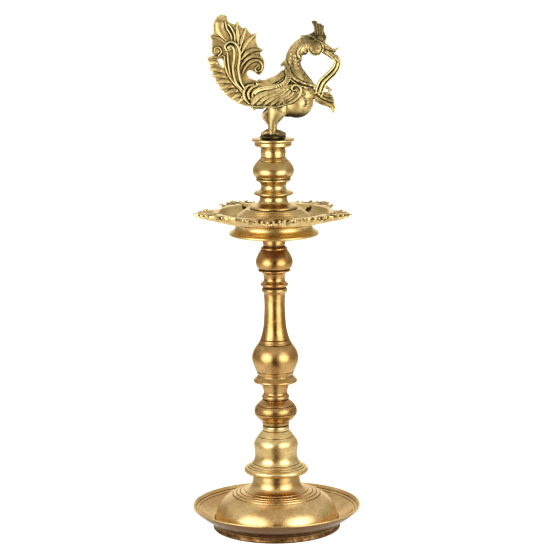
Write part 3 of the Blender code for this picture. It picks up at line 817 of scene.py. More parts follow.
def add_plume_lobes(builder):
    """Broad soft lobes that fan out from the scroll to each cusp of the plume."""
    rib(builder, ((-52, 112.6, 3), (-56.4, 119, 5.4), (-60, 127, 7), (-59.4, 134, 7.4)), 3.6)
    rib(builder, ((-53, 110.4, 1.6), (-60.6, 115.6, 2.2), (-70.2, 117.8, 1)), 3.7)
    rib(builder, ((-46.4, 113.2, 1.4), (-47.2, 119.4, 1.6), (-51.6, 127, 1.5), (-53.6, 134.6, 1.3)), 4.3)
    rib(builder, ((-42.8, 112.4, 1.4), (-43.2, 120, 1.6), (-47.4, 128.6, 1.4), (-50.4, 132, 1.2)), 4.0)
    rib(builder, ((-39.4, 108.4, 1.8), (-39.4, 119, 2.9), (-40, 127, 2.2), (-39.6, 134, 1)), 3.7)
    rib(builder, ((-37.6, 103.6, 1.8), (-35, 113.4, 3), (-32.4, 120.4, 2.4), (-30, 126.8, 1)), 3.6)
    rib(builder, ((-36.4, 97.4, 1.8), (-31.4, 107.6, 3.1), (-26, 114, 2.8), (-18.8, 120, 1)), 3.8)
    rib(builder, ((-36, 91, 1.6), (-29.6, 98.6, 3.3), (-21.8, 101.8, 3), (-11.6, 101.8, 1)), 4.3)
    rib(builder, ((-35.8, 84.4, 1.6), (-29.4, 91.6, 2.5), (-21.4, 95, 2.5), (-13.4, 93.2, 2)), 3.6)
    rib(builder, ((-34.6, 76, 1.8), (-29.4, 84.4, 2.5), (-22.6, 89.4, 2.6), (-15, 89.4, 2.2), (-11.4, 84.4, 1.9),
                  (-12.8, 78.6, 1.7), (-17.4, 77, 1.5), (-19.6, 80.6, 1.3), (-17, 83.4, 1.2)), 4.2)
    add_ball(builder, (-63.6, 0, 101.6), (6, 3.9, 6))
    volute(builder, (-63.6, 101.6), 5.6, 1.2, math.radians(-70), 1.5, 4.3)
    rib(builder, ((-51.6, 100, 1.8), (-50.6, 88, 2.1), (-48.8, 76, 2.1), (-44.6, 66, 1.8)), 3.9)


SCROLL = ((-34.2, 58, 2.4), (-39, 65.2, 3.6), (-41.4, 74, 4.2), (-42.2, 83, 4.2), (-40.8, 92, 4.3), (-40.6, 101, 4.2),
          (-43.2, 107.4, 3.7), (-48.4, 109.6, 3.1), (-52.6, 106.6, 2.5), (-51, 103, 2.0), (-48, 104.6, 1.6))


def offset_line(points, share):
    """A line beside a (x, z, half width) path, at a share of its half width."""
    made = []
    for i, (x, z, half) in enumerate(points):
        before, after = points[max(i - 1, 0)], points[min(i + 1, len(points) - 1)]
        run = Vector((after[0] - before[0], after[1] - before[1])).normalized()
        made.append((x - run.y * half * share, z + run.x * half * share))
    return made


def add_scroll_rib(builder):
    """The bold scroll that rises from the root, edged with two beads, and ends in a volute."""
    limb(builder, [(x, z, 0, half * 0.74, 6.2) for x, z, half in SCROLL])
    for side in (-1, 1):
        for edge in (-1, 1):
            line = offset_line(SCROLL, edge * 0.72)
            rib(builder, [(x, z, 0.55 + 0.24 * half) for (x, z), (_, _, half) in zip(line, SCROLL)], 1.9, side * 6.0, 12)


def add_root_knot(builder):
    """The crossed bands tied round the root of the tail."""
    for side in (-1, 1):
        rib(builder, ((-22, 62.4, 1.3), (-28.6, 60.8, 1.8), (-33, 54.4, 2), (-31.8, 46.6, 2), (-26.4, 40, 1.4)), 2.6, side * 4.6)
        rib(builder, ((-17, 61.4, 1.3), (-24, 58.6, 1.7), (-28, 52.6, 1.9), (-26.6, 46, 1.6)), 2.4, side * 6.4)
        rib(builder, ((-15.6, 58.6, 1.3), (-20.4, 55.6, 1.6), (-23, 50.4, 1.6), (-21.6, 45.4, 1.3)), 2.2, side * 7.6)
        rib(builder, ((-18, 63.6, 1.6), (-12, 61.4, 1.8)), 2.2, side * 6.6)
    limb(builder, [(-33, 48, 0, 6.5, 4.6), (-24, 52, 0, 8.6, 6.4), (-14, 54, 0, 10, 9)])


def add_body(builder):
    add_ball(builder, (0, 0, 53), (26, 14, 14.5), segments=32)
    add_ball(builder, (-12, 0, 53), (16, 11, 12), segments=32)
    add_ball(builder, (12, 0, 52), (20, 15, 17), segments=32)
    add_ball(builder, (27.8, 0, 42.2), (19.8, 16.4, 19.6), segments=64)
    add_ball(builder, (17.6, 0, 38.4), (13.4, 13.5, 14.6), segments=48)
    add_ball(builder, (37.4, 0, 99.6), (4.2, 5.2, 4.2), segments=24)
    add_ball(builder, (35, 0, 52), (14, 14, 13), segments=48)
    limb(builder, [
        (24, 50, 0, 18, 14), (28.2, 62, 0, 17.3, 13.4), (26.6, 70, 0, 13.9, 12.2), (24.5, 78, 0, 10.9, 10.6),
        (23.8, 86, 0, 9.2, 9.4), (25.2, 94, 0, 9.1, 8.6), (29, 101.4, 0, 8.7, 8), (35, 106.6, 0, 8.6, 7.4),
        (42.6, 109, 0, 8.6, 7), (48, 109, 0, 8.4, 6.8),
    ], sides=40)
    limb(builder, [(48, 60, 0, 1.5, 3), (42, 64, 0, 5, 7), (36, 66, 0, 7, 9)], sides=20)
    limb(builder, [(-15.4, 66.4, 0, 1.6, 1.8), (-9, 64, 0, 3.4, 5), (-1, 65.6, 0, 4.6, 8), (7, 68, 0, 5.4, 9),
                   (14, 73, 0, 6, 8.6)], sides=24)
    rib(builder, ((-11.6, 62, 1.5), (-15.2, 66.4, 1.2), (-16.2, 68.6, 0.7)), 2.0)
    rib(builder, ((18, 90, 2.2), (13.4, 86.4, 2.2), (10.2, 83.6, 1.5)), 2.8)
    rib(builder, ((-24, 37, 1.6), (-22.4, 31.6, 0.8)), 2.4)
    rib(builder, ((-22.6, 33, 1.4), (-18.6, 35.4, 2), (-12, 36, 3)), 2.6)
    for side in (-1, 1):
        for drop in (0.0, 3.0):
            line = ((-13, 63.4 - drop, 5.0 + drop * 0.8), (-4, 64.0 - drop, 8.0 + drop * 0.7), (5, 66.6 - drop, 8.6 + drop * 0.6),
                    (13, 71.8 - drop, 8.0 + drop * 0.5))
            limb(builder, [(x, z, side * y, 0.8, 1.0) for x, z, y in line], sides=10)
        volute(builder, (38.2, 41.4), 4.4, 1.5, math.radians(100), 0.6, 0.8, y=side * 14.4)


def add_necklace(builder):
    """The raised band round the breast, the hackle's edge under the head and small cast scales between."""
    for side in (-1, 1):
        band = ((15.4, 88.6, 6.6), (18, 79.4, 9.6), (23.6, 71.6, 12), (31.2, 66, 12.8), (40.6, 62.6, 10), (48.8, 59.8, 3))
        limb(builder, [(x, z, side * y, 1.9, 1.9) for x, z, y in band])
        limb(builder, [(x - 1.4, z - 3.8, side * (y + 0.6), 0.9, 1.1) for x, z, y in band])
        collar = ((38.4, 109.6, 5), (32.6, 105.6, 7.4), (30, 100, 8.2), (30.6, 94.8, 8.2), (33.2, 90.6, 5.4))
        limb(builder, [(x, z, side * y, 1.7, 1.7) for x, z, y in collar])
        for row in range(6):
            for column in range(3):
                x = 20.4 + column * 4.4 + row * 0.25
                z = 77 + row * 4.1 - column * 1.8
                y = side * (9.7 - 0.2 * row - 0.7 * abs(column - 1))
                add_ball(builder, (x, y, z), (1.5, 0.5, 1.2 + 0.5 * (column % 2)), segments=10)


HEAD_EDGE = (
    (29, 104, SHARP), (29.6, 112.6), (33.4, 114.4, SHARP), (31.2, 118.2, SHARP), (38, 118.2), (43.4, 119.6), (47.4, 121.8),
    (49.4, 124.2), (48.4, 127.6), (45, 134.2, SHARP), (48.8, 135), (51.9, 134.2, SHARP), (53.2, 131.2, SHARP),
    (56.4, 132, SHARP), (57.8, 129.6, SHARP), (60.8, 129, SHARP), (59.8, 123.8), (61.4, 119.6), (63.2, 115.8), (62.2, 112),
    (61.6, 107.8, SHARP), (60, 100, SHARP), (40, 101, SHARP),
)


def circle_of_stations(centre, radius, y, half, deep, count=20):
    turns = [2 * math.pi * i / count for i in range(count + 1)]
    return [(centre[0] + radius * math.cos(a), centre[1] + radius * math.sin(a), y, half, deep) for a in turns]


def add_head(builder):
    """Head with a smooth round cheek, ringed ear and eye, an open beak and a toothed crest."""
    plate(builder, HEAD_EDGE, 2.6)
    add_ball(builder, (50.4, 0, 104.4), (9.6, 6.2, 9.4), segments=40)
    add_ball(builder, (54, 0, 111.6), (8, 5.6, 7.4), segments=32)
    limb(builder, [(33, 117, 0, 1.2, 3), (40, 115.6, 0, 3.2, 5), (48, 115.4, 0, 5, 5.6)], sides=20)
    for side in (-1, 1):
        add_ball(builder, (50.2, side * 6.0, 104.1), (6.9, 1.5, 6.9), segments=48)
        limb(builder, circle_of_stations((50.2, 104.1), 8.6, side * 5.4, 0.9, 1.5, 32), sides=10)
        rib(builder, ((42.6, 118.2, 1.2), (48, 116.2, 1.3), (51, 113.6, 1.2), (56.4, 110.4, 1.3), (62.2, 106.6, 1.2)), 1.6,
            side * 5.6)
        limb(builder, circle_of_stations((43.6, 110.4), 2.3, side * 6.0, 0.7, 1.0), sides=8)
        limb(builder, circle_of_stations((55.4, 114.6), 2.5, side * 5.0, 0.75, 1.3), sides=8)
        add_ball(builder, (55.4, side * 5.2, 114.6), (1.5, 1.3, 1.5), segments=14)
    rib(builder, ((57, 108, 4.4), (63.6, 103.8, 3.2), (69.4, 101.1, 1.9), (73.6, 101.5, 1.3), (77.2, 103.8, 0.6)), 3.4)
    rib(builder, ((56, 102.4, 3.8), (63, 98.6, 3.6), (69, 94.4, 3.6), (73.6, 91, 3.6)), 3.4)
    rib(builder, ((62, 100.2, 1), (68.6, 98.2, 1), (73, 99, 0.9)), 4.0)
    for x0, x1, z1 in ((50.6, 47.4, 132.8), (52.8, 50.8, 132.6), (55.2, 54.4, 130.2), (57.6, 57.4, 128.4)):
        rib(builder, ((x0, 118.6, 0.7), ((x0 + x1) / 2 + 0.5, 124.4, 0.85), (x1, z1, 0.6)), 3.3)


VINE = ((72.6, 93, 3.4), (75.4, 88.7, 4.1), (74.6, 82.4, 4.6), (70.6, 76.1, 4.8), (64.2, 69.8, 4.9), (58.4, 64, 5.4),
        (55.4, 57.6, 5.4), (53, 50, 5))


def add_vine(builder):
    """The grooved vine that the bird holds in its beak, and its leaf on the breast."""
    limb(builder, [(x, z, 0, half * 0.9, 2.9) for x, z, half in VINE], sides=18)
    for side in (-1, 1):
        for edge, size in ((-0.74, 1.3), (0.1, 1.5), (0.8, 0.9)):
            rib(builder, [(x, z, size) for x, z in offset_line(VINE, edge)], 1.3, side * 2.7, 10)
    leaf = ((48.6, 41.2, SHARP), (55.9, 37.8), (64, 34.6), (67.8, 32), (68.2, 28.8), (69.8, 27.8), (72.2, 30.4), (73.2, 36),
            (71.2, 41.8), (70.6, 46.8), (67.2, 50.6, SHARP), (60, 53), (52, 56, SHARP))
    plate(builder, leaf, 1.9)
    rib(builder, ((48.6, 47.4, 2.6), (55, 43, 2.4), (62.4, 39.4, 2.2), (68.4, 36, 1.9), (70.4, 30.4, 1.2)), 3.2)
    rib(builder, ((52, 52.4, 2), (57.6, 46.6, 1.9), (64.4, 43.4, 1.9), (71, 41.4, 1.2)), 3.4)
    rib(builder, ((55.6, 55, 1.8), (59.4, 49.6, 1.7), (64.6, 47.4, 1.7), (69.6, 47.4, 1.2)), 3.2)
    rib(builder, ((60, 63, 1.8), (61.6, 58.6, 1.9), (65.4, 56.6, 1.7), (68.8, 54.2, 1)), 2.8)
    rib(builder, ((65.6, 56.4, 1.4), (65.4, 52.6, 1.4), (62.4, 49.6, 1.4)), 2.6)


def add_wings(builder):
    """Folded wings: a plate on each flank with raised quills, an edge bead and a shoulder volute."""
    outline = ((-26, 38, SHARP), (-12.6, 37.2), (3.7, 36.8), (18.4, 40.4), (27.6, 45.6), (33.2, 52.4), (34, 58.4), (30.4, 62.4),
               (24, 63.2), (12, 60.6), (2, 57.4), (-10, 55), (-20, 50))
    for side in (-1, 1):
        plate(builder, outline, 3.4, y=side * 13)
        limb(builder, [(-20, 44, side * 7, 6.5, 6), (0, 47, side * 10.4, 9, 6), (20, 50, side * 11, 10, 6)])
        quills = (
            ((-22.6, 41), (-15, 49.6), (-3, 54), (8, 57.6)),
            ((-17, 40.4), (-8, 48), (2.4, 52.4), (13, 57.8)),
            ((-10, 39.8), (-1, 46.8), (8.6, 51), (17, 57.4)),
            ((-2.6, 39.4), (5.6, 45.4), (13.4, 49.6), (20, 55.4)),
            ((5, 39.6), (12, 44.6), (18.6, 48.8), (23.6, 53.4)),
            ((12.6, 41), (18, 44.8), (23, 48.2), (27.4, 52)),
            ((20, 43.6), (24.4, 46.6), (28.4, 50.4), (30.6, 54.6)),
        )
        for quill in quills:
            limb(builder, [(x, z, side * 16.0, half, 1.5) for (x, z), half in zip(quill, (1.2, 2.4, 2.5, 1.5))], sides=14)
        rib(builder, ((-26, 38.4, 1.1), (-12.6, 37.8, 1.3), (3.7, 37.4, 1.4), (18.2, 41, 1.5), (27, 46.2, 1.6), (32.2, 52.8, 1.7),
                      (32.8, 58.2, 1.7), (29.4, 61.6, 1.6), (24.6, 61.8, 1.4), (22.2, 58.8, 1.2), (23.6, 56, 1.1),
                      (26.2, 57.2, 1)), 2.0, side * 16.8)
        strap = ((-20, 52.4, 8.4), (-14, 56.6, 10.6), (2.4, 59, 13.6), (12, 62.6, 13.8), (17.4, 68.6, 12.4), (18.4, 76, 10.6),
                 (16.8, 83, 8.6))
        limb(builder, [(x, z, side * y, 2.9, 1.8) for x, z, y in strap])
        for shift in (-0.85, 0.85):
            line = offset_line([(x, z, 2.9) for x, z, y in strap], shift)
            limb(builder, [(x, z, side * (y + 1.2), 0.8, 1.0) for (x, z), (_, _, y) in zip(line, strap)], sides=10)
        add_strap_ticks(builder, strap, side)


def add_strap_ticks(builder, strap, side):
    """Small cross bars along the shoulder end of the strap."""
    path = spline([(x, z, y) for x, z, y in strap], 2.6)
    path = path[len(path) * 2 // 5:]
    for here, ahead in zip(path[1:-1], path[2:]):
        run = (ahead - here).normalized()
        across = Vector((-run.y, run.x, 0)) * 1.6
        ends = (here + across, here - across)
        limb(builder, [(p.x, p.y, side * (p.z + 1.4), 0.6, 0.8) for p in ends], sides=8)


def add_legs(builder):
    for side in (-1, 1):
        limb(builder, [
            (8, 42, side * 7.5, 13, 8), (5.4, 33, side * 7.6, 12.2, 7.4), (2.6, 25.6, side * 7.2, 9.0, 6.6),
            (0.2, 18.6, side * 6.8, 6.0, 5.2), (-0.4, 12.6, side * 6.6, 5.0, 4.6), (-0.4, 5, side * 6.6, 5.4, 4.8),
        ], sides=28)
        for row in range(6):
            for column in range(3):
                z = 34 - row * 3.8
                spread = 4.4 - 0.45 * row
                x = 5.2 - 0.9 * row + (column - 1) * spread
                y = side * (14.6 - row * 0.72 - 0.7 * abs(column - 1))
                limb(builder, [(x + 0.4, z + 1.4, y, 1.3, 0.8), (x, z - 1.4, y - side * 0.3, 0.8, 0.8)], sides=8)
        for length, spread in ((14, 2.4), (13, -3.6), (9, 7)):
            limb(builder, [(0, 6.4, side * 6.4, 3.2, 3.2), (length * 0.55, 5.8, side * (6.4 + spread * 0.5), 2.4, 2.4),
                           (length, 3.6, side * (6.4 + spread * 0.7), 1.5, 1.7)])
        limb(builder, [(0, 6.8, side * 6.4, 3.4, 3.2), (-7, 6.4, side * 6, 3.0, 2.8), (-12.4, 4.0, side * 5, 1.9, 2.0)])
        limb(builder, [(-4, 33, side * 6, 2.8, 2.6), (-10.4, 27.6, side * 6, 2.0, 2), (-10.8, 24, side * 6, 1.8, 1.6),
                       (-8, 20.4, side * 6, 1.8, 1.6), (-5, 16.4, side * 6, 1.6, 1.6)])
        limb(builder, [(-6, 30, side * 6, 4.0, 1.5), (-7, 24.6, side * 6, 3.6, 1.5), (-4.6, 19.6, side * 6, 2.4, 1.5)])


def add_foot_plate(builder):
    outline = fine_outline([(0, 0.0), (14.6, 0.0, SHARP), (15.4, 0.6), (15.0, 2.2), (13.2, 3.2), (9, 3.8), (0, 4.2)], 1.0)
    lathe(builder, outline, steps=48)


def build_peacock(material):
    """The bird is built from overlapping members that are fused into one casting."""
    floor = span(PEACOCK)[0].z
    builder = bmesh.new()
    for add_part in (add_tail, add_body, add_necklace, add_head, add_vine, add_wings, add_legs, add_foot_plate):
        add_part(builder)
    bmesh.ops.translate(builder, vec=(0, 0, floor), verts=builder.verts)
    peacock = new_piece("fine_" + PEACOCK, builder, material, PEACOCK)
    carve(peacock, floor)
    mark_relief(peacock.data, 12)
    return peacock


def carve(peacock, floor):
    """Fuses the bird's members into one casting, opens the tail and bores the foot for its stud."""
    modifiers = peacock.modifiers
    skin = modifiers.new("one_casting", "REMESH")
    skin.mode = "VOXEL"
    skin.voxel_size = VOXEL * MM
    skin.use_smooth_shade = True
    soften = modifiers.new("soften", "SMOOTH")
    soften.factor = 0.5
    soften.iterations = 3
    opening = bmesh.new()
    plate(opening, TAIL_OPENING, 12)
    size = THREADS["finial_threaded_stud"]
    hole = bmesh.new()
    bmesh.ops.translate(opening, vec=(0, 0, floor), verts=opening.verts)
    lathe(hole, [Vector((0, floor - 2)), Vector((size["crest"] + 0.3, floor - 2)),
                 Vector((size["crest"] + 0.3, size["high"] + 0.3)), Vector((0, size["high"] + 0.3))], steps=64)
    slab = bmesh.new()
    place = Matrix.Translation((0, 0, floor - 10)) @ Matrix.Diagonal((80, 80, 20, 1))
    bmesh.ops.create_cube(slab, size=1.0, matrix=place)
    cutters = []
    for name, builder in (("opening", opening), ("stud_hole", hole), ("plane", slab)):
        bmesh.ops.recalc_face_normals(builder, faces=builder.faces)
        bmesh.ops.scale(builder, vec=(MM, MM, MM), verts=builder.verts)
        mesh = bpy.data.meshes.new(name)
        builder.to_mesh(mesh)
        builder.free()
        cutter = bpy.data.objects.new(name, mesh)
        bpy.context.scene.collection.objects.link(cutter)
        cutters.append(cutter)
        cut = modifiers.new(name, "BOOLEAN")
        cut.operation = "DIFFERENCE"
        cut.solver = "FAST"
        cut.object = cutter
    bpy.context.view_layer.update()
    graph = bpy.context.evaluated_depsgraph_get()
    shape = bpy.data.meshes.new_from_object(peacock.evaluated_get(graph))
    material = peacock.data.materials[0]
    modifiers.clear()
    peacock.data = shape
    shape.materials.clear()
    shape.materials.append(material)
    shape.polygons.foreach_set("material_index", [0] * len(shape.polygons))
    shape.polygons.foreach_set("use_smooth", [True] * len(shape.polygons))
    for cutter in cutters:
        bpy.data.objects.remove(cutter, do_unlink=True)


# ---------------------------------------------------------------- materials

class Nodes:
    """Small helper to wire shader nodes together."""

    def __init__(self, name):
        self.material = bpy.data.materials.new(name)
        self.material.use_nodes = True
        self.tree = self.material.node_tree
        self.shader = self.tree.nodes["Principled BSDF"]
        self.place = self.add("ShaderNodeTexCoord").outputs["Object"]

    def add(self, kind, **settings):
        node = self.tree.nodes.new(kind)
        for key, value in settings.items():
            setattr(node, key, value)
        return node

    def feed(self, socket, value):
        if hasattr(value, "links"):
            self.tree.links.new(value, socket)
        else:
            socket.default_value = value

    def noise(self, scale, detail=3.0, roughness=0.55, vector=None):
        node = self.add("ShaderNodeTexNoise")
        self.feed(node.inputs["Vector"], vector or self.place)
        node.inputs["Scale"].default_value = scale
        node.inputs["Detail"].default_value = detail
        node.inputs["Roughness"].default_value = roughness
        return node.outputs["Fac"]

    def ramp(self, value, low, high, smooth=True):
        node = self.add("ShaderNodeMapRange", interpolation_type="SMOOTHSTEP" if smooth else "LINEAR")
        self.feed(node.inputs["Value"], value)
        node.inputs["From Min"].default_value = low
        node.inputs["From Max"].default_value = high
        return node.outputs["Result"]

    def math(self, operation, *values):
        node = self.add("ShaderNodeMath", operation=operation)
        for socket, value in zip(node.inputs, values):
            self.feed(socket, value)
        return node.outputs[0]

    def mix(self, share, a, b):
        node = self.add("ShaderNodeMix", data_type="RGBA")
        self.feed(node.inputs["Factor"], share)
        self.feed(node.inputs["A"], a if hasattr(a, "links") else (*a, 1.0))
        self.feed(node.inputs["B"], b if hasattr(b, "links") else (*b, 1.0))
        return node.outputs["Result"]

    def blend(self, share, a, b):
        node = self.add("ShaderNodeMix", data_type="FLOAT")
        self.feed(node.inputs["Factor"], share)
        self.feed(node.inputs["A"], a)
        self.feed(node.inputs["B"], b)
        return node.outputs["Result"]

    def bump(self, height, distance, strength, normal=None):
        node = self.add("ShaderNodeBump")
        node.inputs["Distance"].default_value = distance
        node.inputs["Strength"].default_value = strength
        self.feed(node.inputs["Height"], height)
        if normal:
            self.feed(node.inputs["Normal"], normal)
        return node.outputs["Normal"]

    def lathe_place(self):
        """Coordinates that follow radius and height only, for tool marks that run round the axis."""
        apart = self.add("ShaderNodeSeparateXYZ")
        self.feed(apart.inputs[0], self.place)
        squared = self.math("ADD", self.math("MULTIPLY", apart.outputs[0], apart.outputs[0]),
                            self.math("MULTIPLY", apart.outputs[1], apart.outputs[1]))
        together = self.add("ShaderNodeCombineXYZ")
        self.feed(together.inputs[0], self.math("SQRT", squared))
        self.feed(together.inputs[2], apart.outputs[2])
        return together.outputs[0]


def worn_brass(name, bright, warm, oxide_and_shade_colour, tarnish_and_shade_strength, tool_marks, pits, rough, relief_range=(0.07, 0.30), soil_and_shade=None,
               clouding=0.42, mottle=0.0, metal=1.0,
               wear_and_sheen=0.5, shade_spots=(),
               clean_behind=None):
    """Hand-polished brass: tint that drifts, dark crevices (real patina in hollows plus painted shade where surfaces
    close in), edges lightened by rubbing wear and a painted highlight, pits and fine tool marks.
    """
    nodes = Nodes(name)
    drift = nodes.ramp(nodes.noise(30, 5, 0.6), 0.36, 0.66)
    cloud = nodes.ramp(nodes.noise(110, 6, 0.7), 0.46, 0.8)
    colour = nodes.mix(drift, warm, bright)
    colour = nodes.mix(nodes.math("MULTIPLY", cloud, clouding), colour, tuple(c * 0.55 for c in warm))

    relief = nodes.add("ShaderNodeAttribute", attribute_name="relief").outputs["Fac"]
    ragged = nodes.math("MULTIPLY", nodes.math("SUBTRACT", nodes.noise(330, 4, 0.7), 0.5), 0.16)
    relief_ragged = nodes.math("ADD", relief, ragged)
    hollow = nodes.ramp(relief_ragged, -relief_range[0], -relief_range[1])
    ridge = nodes.ramp(relief_ragged, relief_range[0] + 0.07, relief_range[1] + 0.12)

    # Painted shade: ambient occlusion darkens crevices and places where parts close in; relief hollows add real patina.
    occlusion = nodes.add("ShaderNodeAmbientOcclusion", samples=8)
    occlusion.inputs["Distance"].default_value = 0.006
    crevice_shade = nodes.ramp(nodes.math("ADD", occlusion.outputs["AO"], ragged), 0.60, 0.24)
    tarnish_and_shade = nodes.math("MULTIPLY", nodes.math("MAXIMUM", nodes.math("MULTIPLY", crevice_shade, 0.75), hollow), tarnish_and_shade_strength)
    # Ridges lightened: rubbed wear plus a painted highlight, strongest on the bird's raised ribs.
    colour = nodes.mix(nodes.math("MULTIPLY", ridge, wear_and_sheen), colour, tuple(min(1.0, c * (1 + 0.5 * wear_and_sheen)) for c in bright))
    # Painted crevice shade and real hollow patina both take the dark patina colour.
    colour = nodes.mix(tarnish_and_shade, colour, oxide_and_shade_colour)
    patches = nodes.math("MULTIPLY", nodes.ramp(nodes.noise(62, 4, 0.6), 0.42, 0.62), nodes.ramp(nodes.noise(290, 6, 0.75), 0.42, 0.60))
    if clean_behind is not None:
        forward = nodes.add("ShaderNodeSeparateXYZ")
        nodes.feed(forward.inputs[0], nodes.place)
        ahead = nodes.ramp(forward.outputs[0], (clean_behind - 8) * MM, (clean_behind + 8) * MM)
        patches = nodes.math("MULTIPLY", patches, nodes.blend(ahead, 0.2, 1.0))
    open_ground = nodes.math("MULTIPLY_ADD", ridge, -0.35, 1.0)
    tarnish_and_shade_patches = nodes.math("MULTIPLY", nodes.math("MULTIPLY", patches, open_ground), mottle)
    # Painted shade: darker round each given spot, such as the bird's head, neck and legs.
    for forward, height, strength in shade_spots:
        near = nodes.add("ShaderNodeVectorMath", operation="DISTANCE")
        nodes.feed(near.inputs[0], nodes.place)
        near.inputs[1].default_value = (forward * MM, 0, height * MM)
        close = nodes.math("MULTIPLY", nodes.ramp(near.outputs["Value"], 0.025, 0.011), strength)
        shaded = nodes.math("MULTIPLY", close, nodes.math("MULTIPLY_ADD", ridge, -0.5, 1.0))
        tarnish_and_shade_patches = nodes.math("MAXIMUM", tarnish_and_shade_patches, shaded)
    # Real tarnish patches and the painted shade spots take the dark patina colour.
    colour = nodes.mix(tarnish_and_shade_patches, colour, tuple(c * 3.0 for c in oxide_and_shade_colour))
    if soil_and_shade:
        top_of_soil, soil_and_shade_colour, overhang = soil_and_shade
        upright = nodes.add("ShaderNodeSeparateXYZ")
        nodes.feed(upright.inputs[0], nodes.place)
        low_down = nodes.ramp(upright.outputs[2], top_of_soil * MM, (top_of_soil - 4) * MM)
        blotches = nodes.ramp(nodes.noise(150, 6, 0.75), 0.34, 0.62)
        # Painted shade: faces that look downward, under the tray's flare and the bird's belly, take the soil colour.
        facing = nodes.add("ShaderNodeSeparateXYZ")
        nodes.feed(facing.inputs[0], nodes.add("ShaderNodeNewGeometry").outputs["Normal"])
        under = nodes.ramp(facing.outputs[2], -overhang, -overhang - 0.35)
        soiled = nodes.math("MULTIPLY", low_down, nodes.blend(blotches, 0.55, 1.0))
        colour = nodes.mix(nodes.math("MULTIPLY", under, 0.92), colour, soil_and_shade_colour)
        colour = nodes.mix(soiled, colour, soil_and_shade_colour)
        tarnish_and_shade = nodes.math("MAXIMUM", tarnish_and_shade, nodes.math("MULTIPLY", soiled, 0.5))

    specks = nodes.add("ShaderNodeTexVoronoi")
    nodes.feed(specks.inputs["Vector"], nodes.place)
    specks.inputs["Scale"].default_value = 330
    speck_patches = nodes.ramp(nodes.noise(70, 3), 0.54, 0.7)
    speck = nodes.math("MULTIPLY", nodes.ramp(specks.outputs["Distance"], 0.24, 0.08), speck_patches)
    colour = nodes.mix(nodes.math("MULTIPLY", speck, pits), colour, tuple(c * 0.6 for c in oxide_and_shade_colour))
    nodes.feed(nodes.shader.inputs["Base Color"], colour)

    nodes.feed(nodes.shader.inputs["Metallic"], nodes.blend(tarnish_and_shade, metal, 0.5))
    haze = nodes.ramp(nodes.noise(120, 5, 0.7), 0.3, 0.75)
    polish = nodes.blend(haze, rough - 0.05, rough + 0.11)
    nodes.feed(nodes.shader.inputs["Roughness"], nodes.blend(tarnish_and_shade, polish, 0.6))

    dents = nodes.bump(nodes.noise(60, 3, 0.5), 0.0010, 0.22)
    marks = nodes.noise(650, 2, 0.6, nodes.lathe_place())
    turned = nodes.bump(marks, 0.00006, tool_marks, dents)
    grain = nodes.bump(nodes.noise(900, 4, 0.7), 0.00005, 0.35, turned)
    pitted = nodes.bump(nodes.math("SUBTRACT", 1.0, speck), 0.00025, pits, grain)
    nodes.feed(nodes.shader.inputs["Normal"], pitted)
    return nodes.material


def oiled_leather(name):
    nodes = Nodes(name)
    grain = nodes.noise(650, 6, 0.7)
    soak = nodes.ramp(nodes.noise(140, 3), 0.35, 0.7)
    colour = nodes.mix(soak, (0.05, 0.028, 0.014), (0.15, 0.085, 0.04))
    nodes.feed(nodes.shader.inputs["Base Color"], nodes.mix(nodes.math("MULTIPLY", grain, 0.4), colour, (0.03, 0.02, 0.012)))
    nodes.feed(nodes.shader.inputs["Roughness"], nodes.blend(grain, 0.5, 0.85))
    nodes.feed(nodes.shader.inputs["Normal"], nodes.bump(grain, 0.0003, 0.5))
    return nodes.material


# ---------------------------------------------------------------- stage

CAMERA_DISTANCE = 2.604
CAMERA_HEIGHT = 0.762
CAMERA_PITCH = math.radians(10.08)
CAMERA_ROLL = math.radians(-0.57)
CAMERA_LENS = 144.6


def add_camera():
    data = bpy.data.cameras.new("camera")
    data.lens = CAMERA_LENS
    data.sensor_width = 36
    data.shift_x = 0.010
    data.clip_end = 50
    camera = bpy.data.objects.new("camera", data)
    camera.location = (0, -CAMERA_DISTANCE, CAMERA_HEIGHT)
    tilt = Matrix.Rotation(math.pi / 2 - CAMERA_PITCH, 4, "X")
    camera.rotation_mode = "QUATERNION"
    camera.rotation_quaternion = (tilt @ Matrix.Rotation(CAMERA_ROLL, 4, "Z")).to_quaternion()
    bpy.context.scene.collection.objects.link(camera)
    bpy.context.scene.camera = camera


def add_softbox(name, azimuth, elevation, distance, width, height, power, aim=0.3):
    """A soft area light aimed at the lamp. Azimuth 0 is the camera's side."""
    data = bpy.data.lights.new(name, "AREA")
    data.shape = "RECTANGLE"
    data.size, data.size_y = width, height
    data.energy = power
    light = bpy.data.objects.new(name, data)
    a, e = math.radians(azimuth), math.radians(elevation)
    target = Vector((0, 0, aim))
    away = Vector((math.sin(a) * math.cos(e), -math.cos(a) * math.cos(e), math.sin(e)))
    light.location = target + away * distance
    light.rotation_mode = "QUATERNION"
    light.rotation_quaternion = (-away).to_track_quat("-Z", "Y")
    bpy.context.scene.collection.objects.link(light)


# Height of a reflected direction (-1 straight down, 1 straight up) and how bright the studio is there.
STUDIO_GLOW = ((-1.0, 0.98), (-0.5, 0.92), (-0.2, 0.52), (0.0, 0.42), (0.22, 0.48), (0.55, 0.66), (1.0, 0.58))


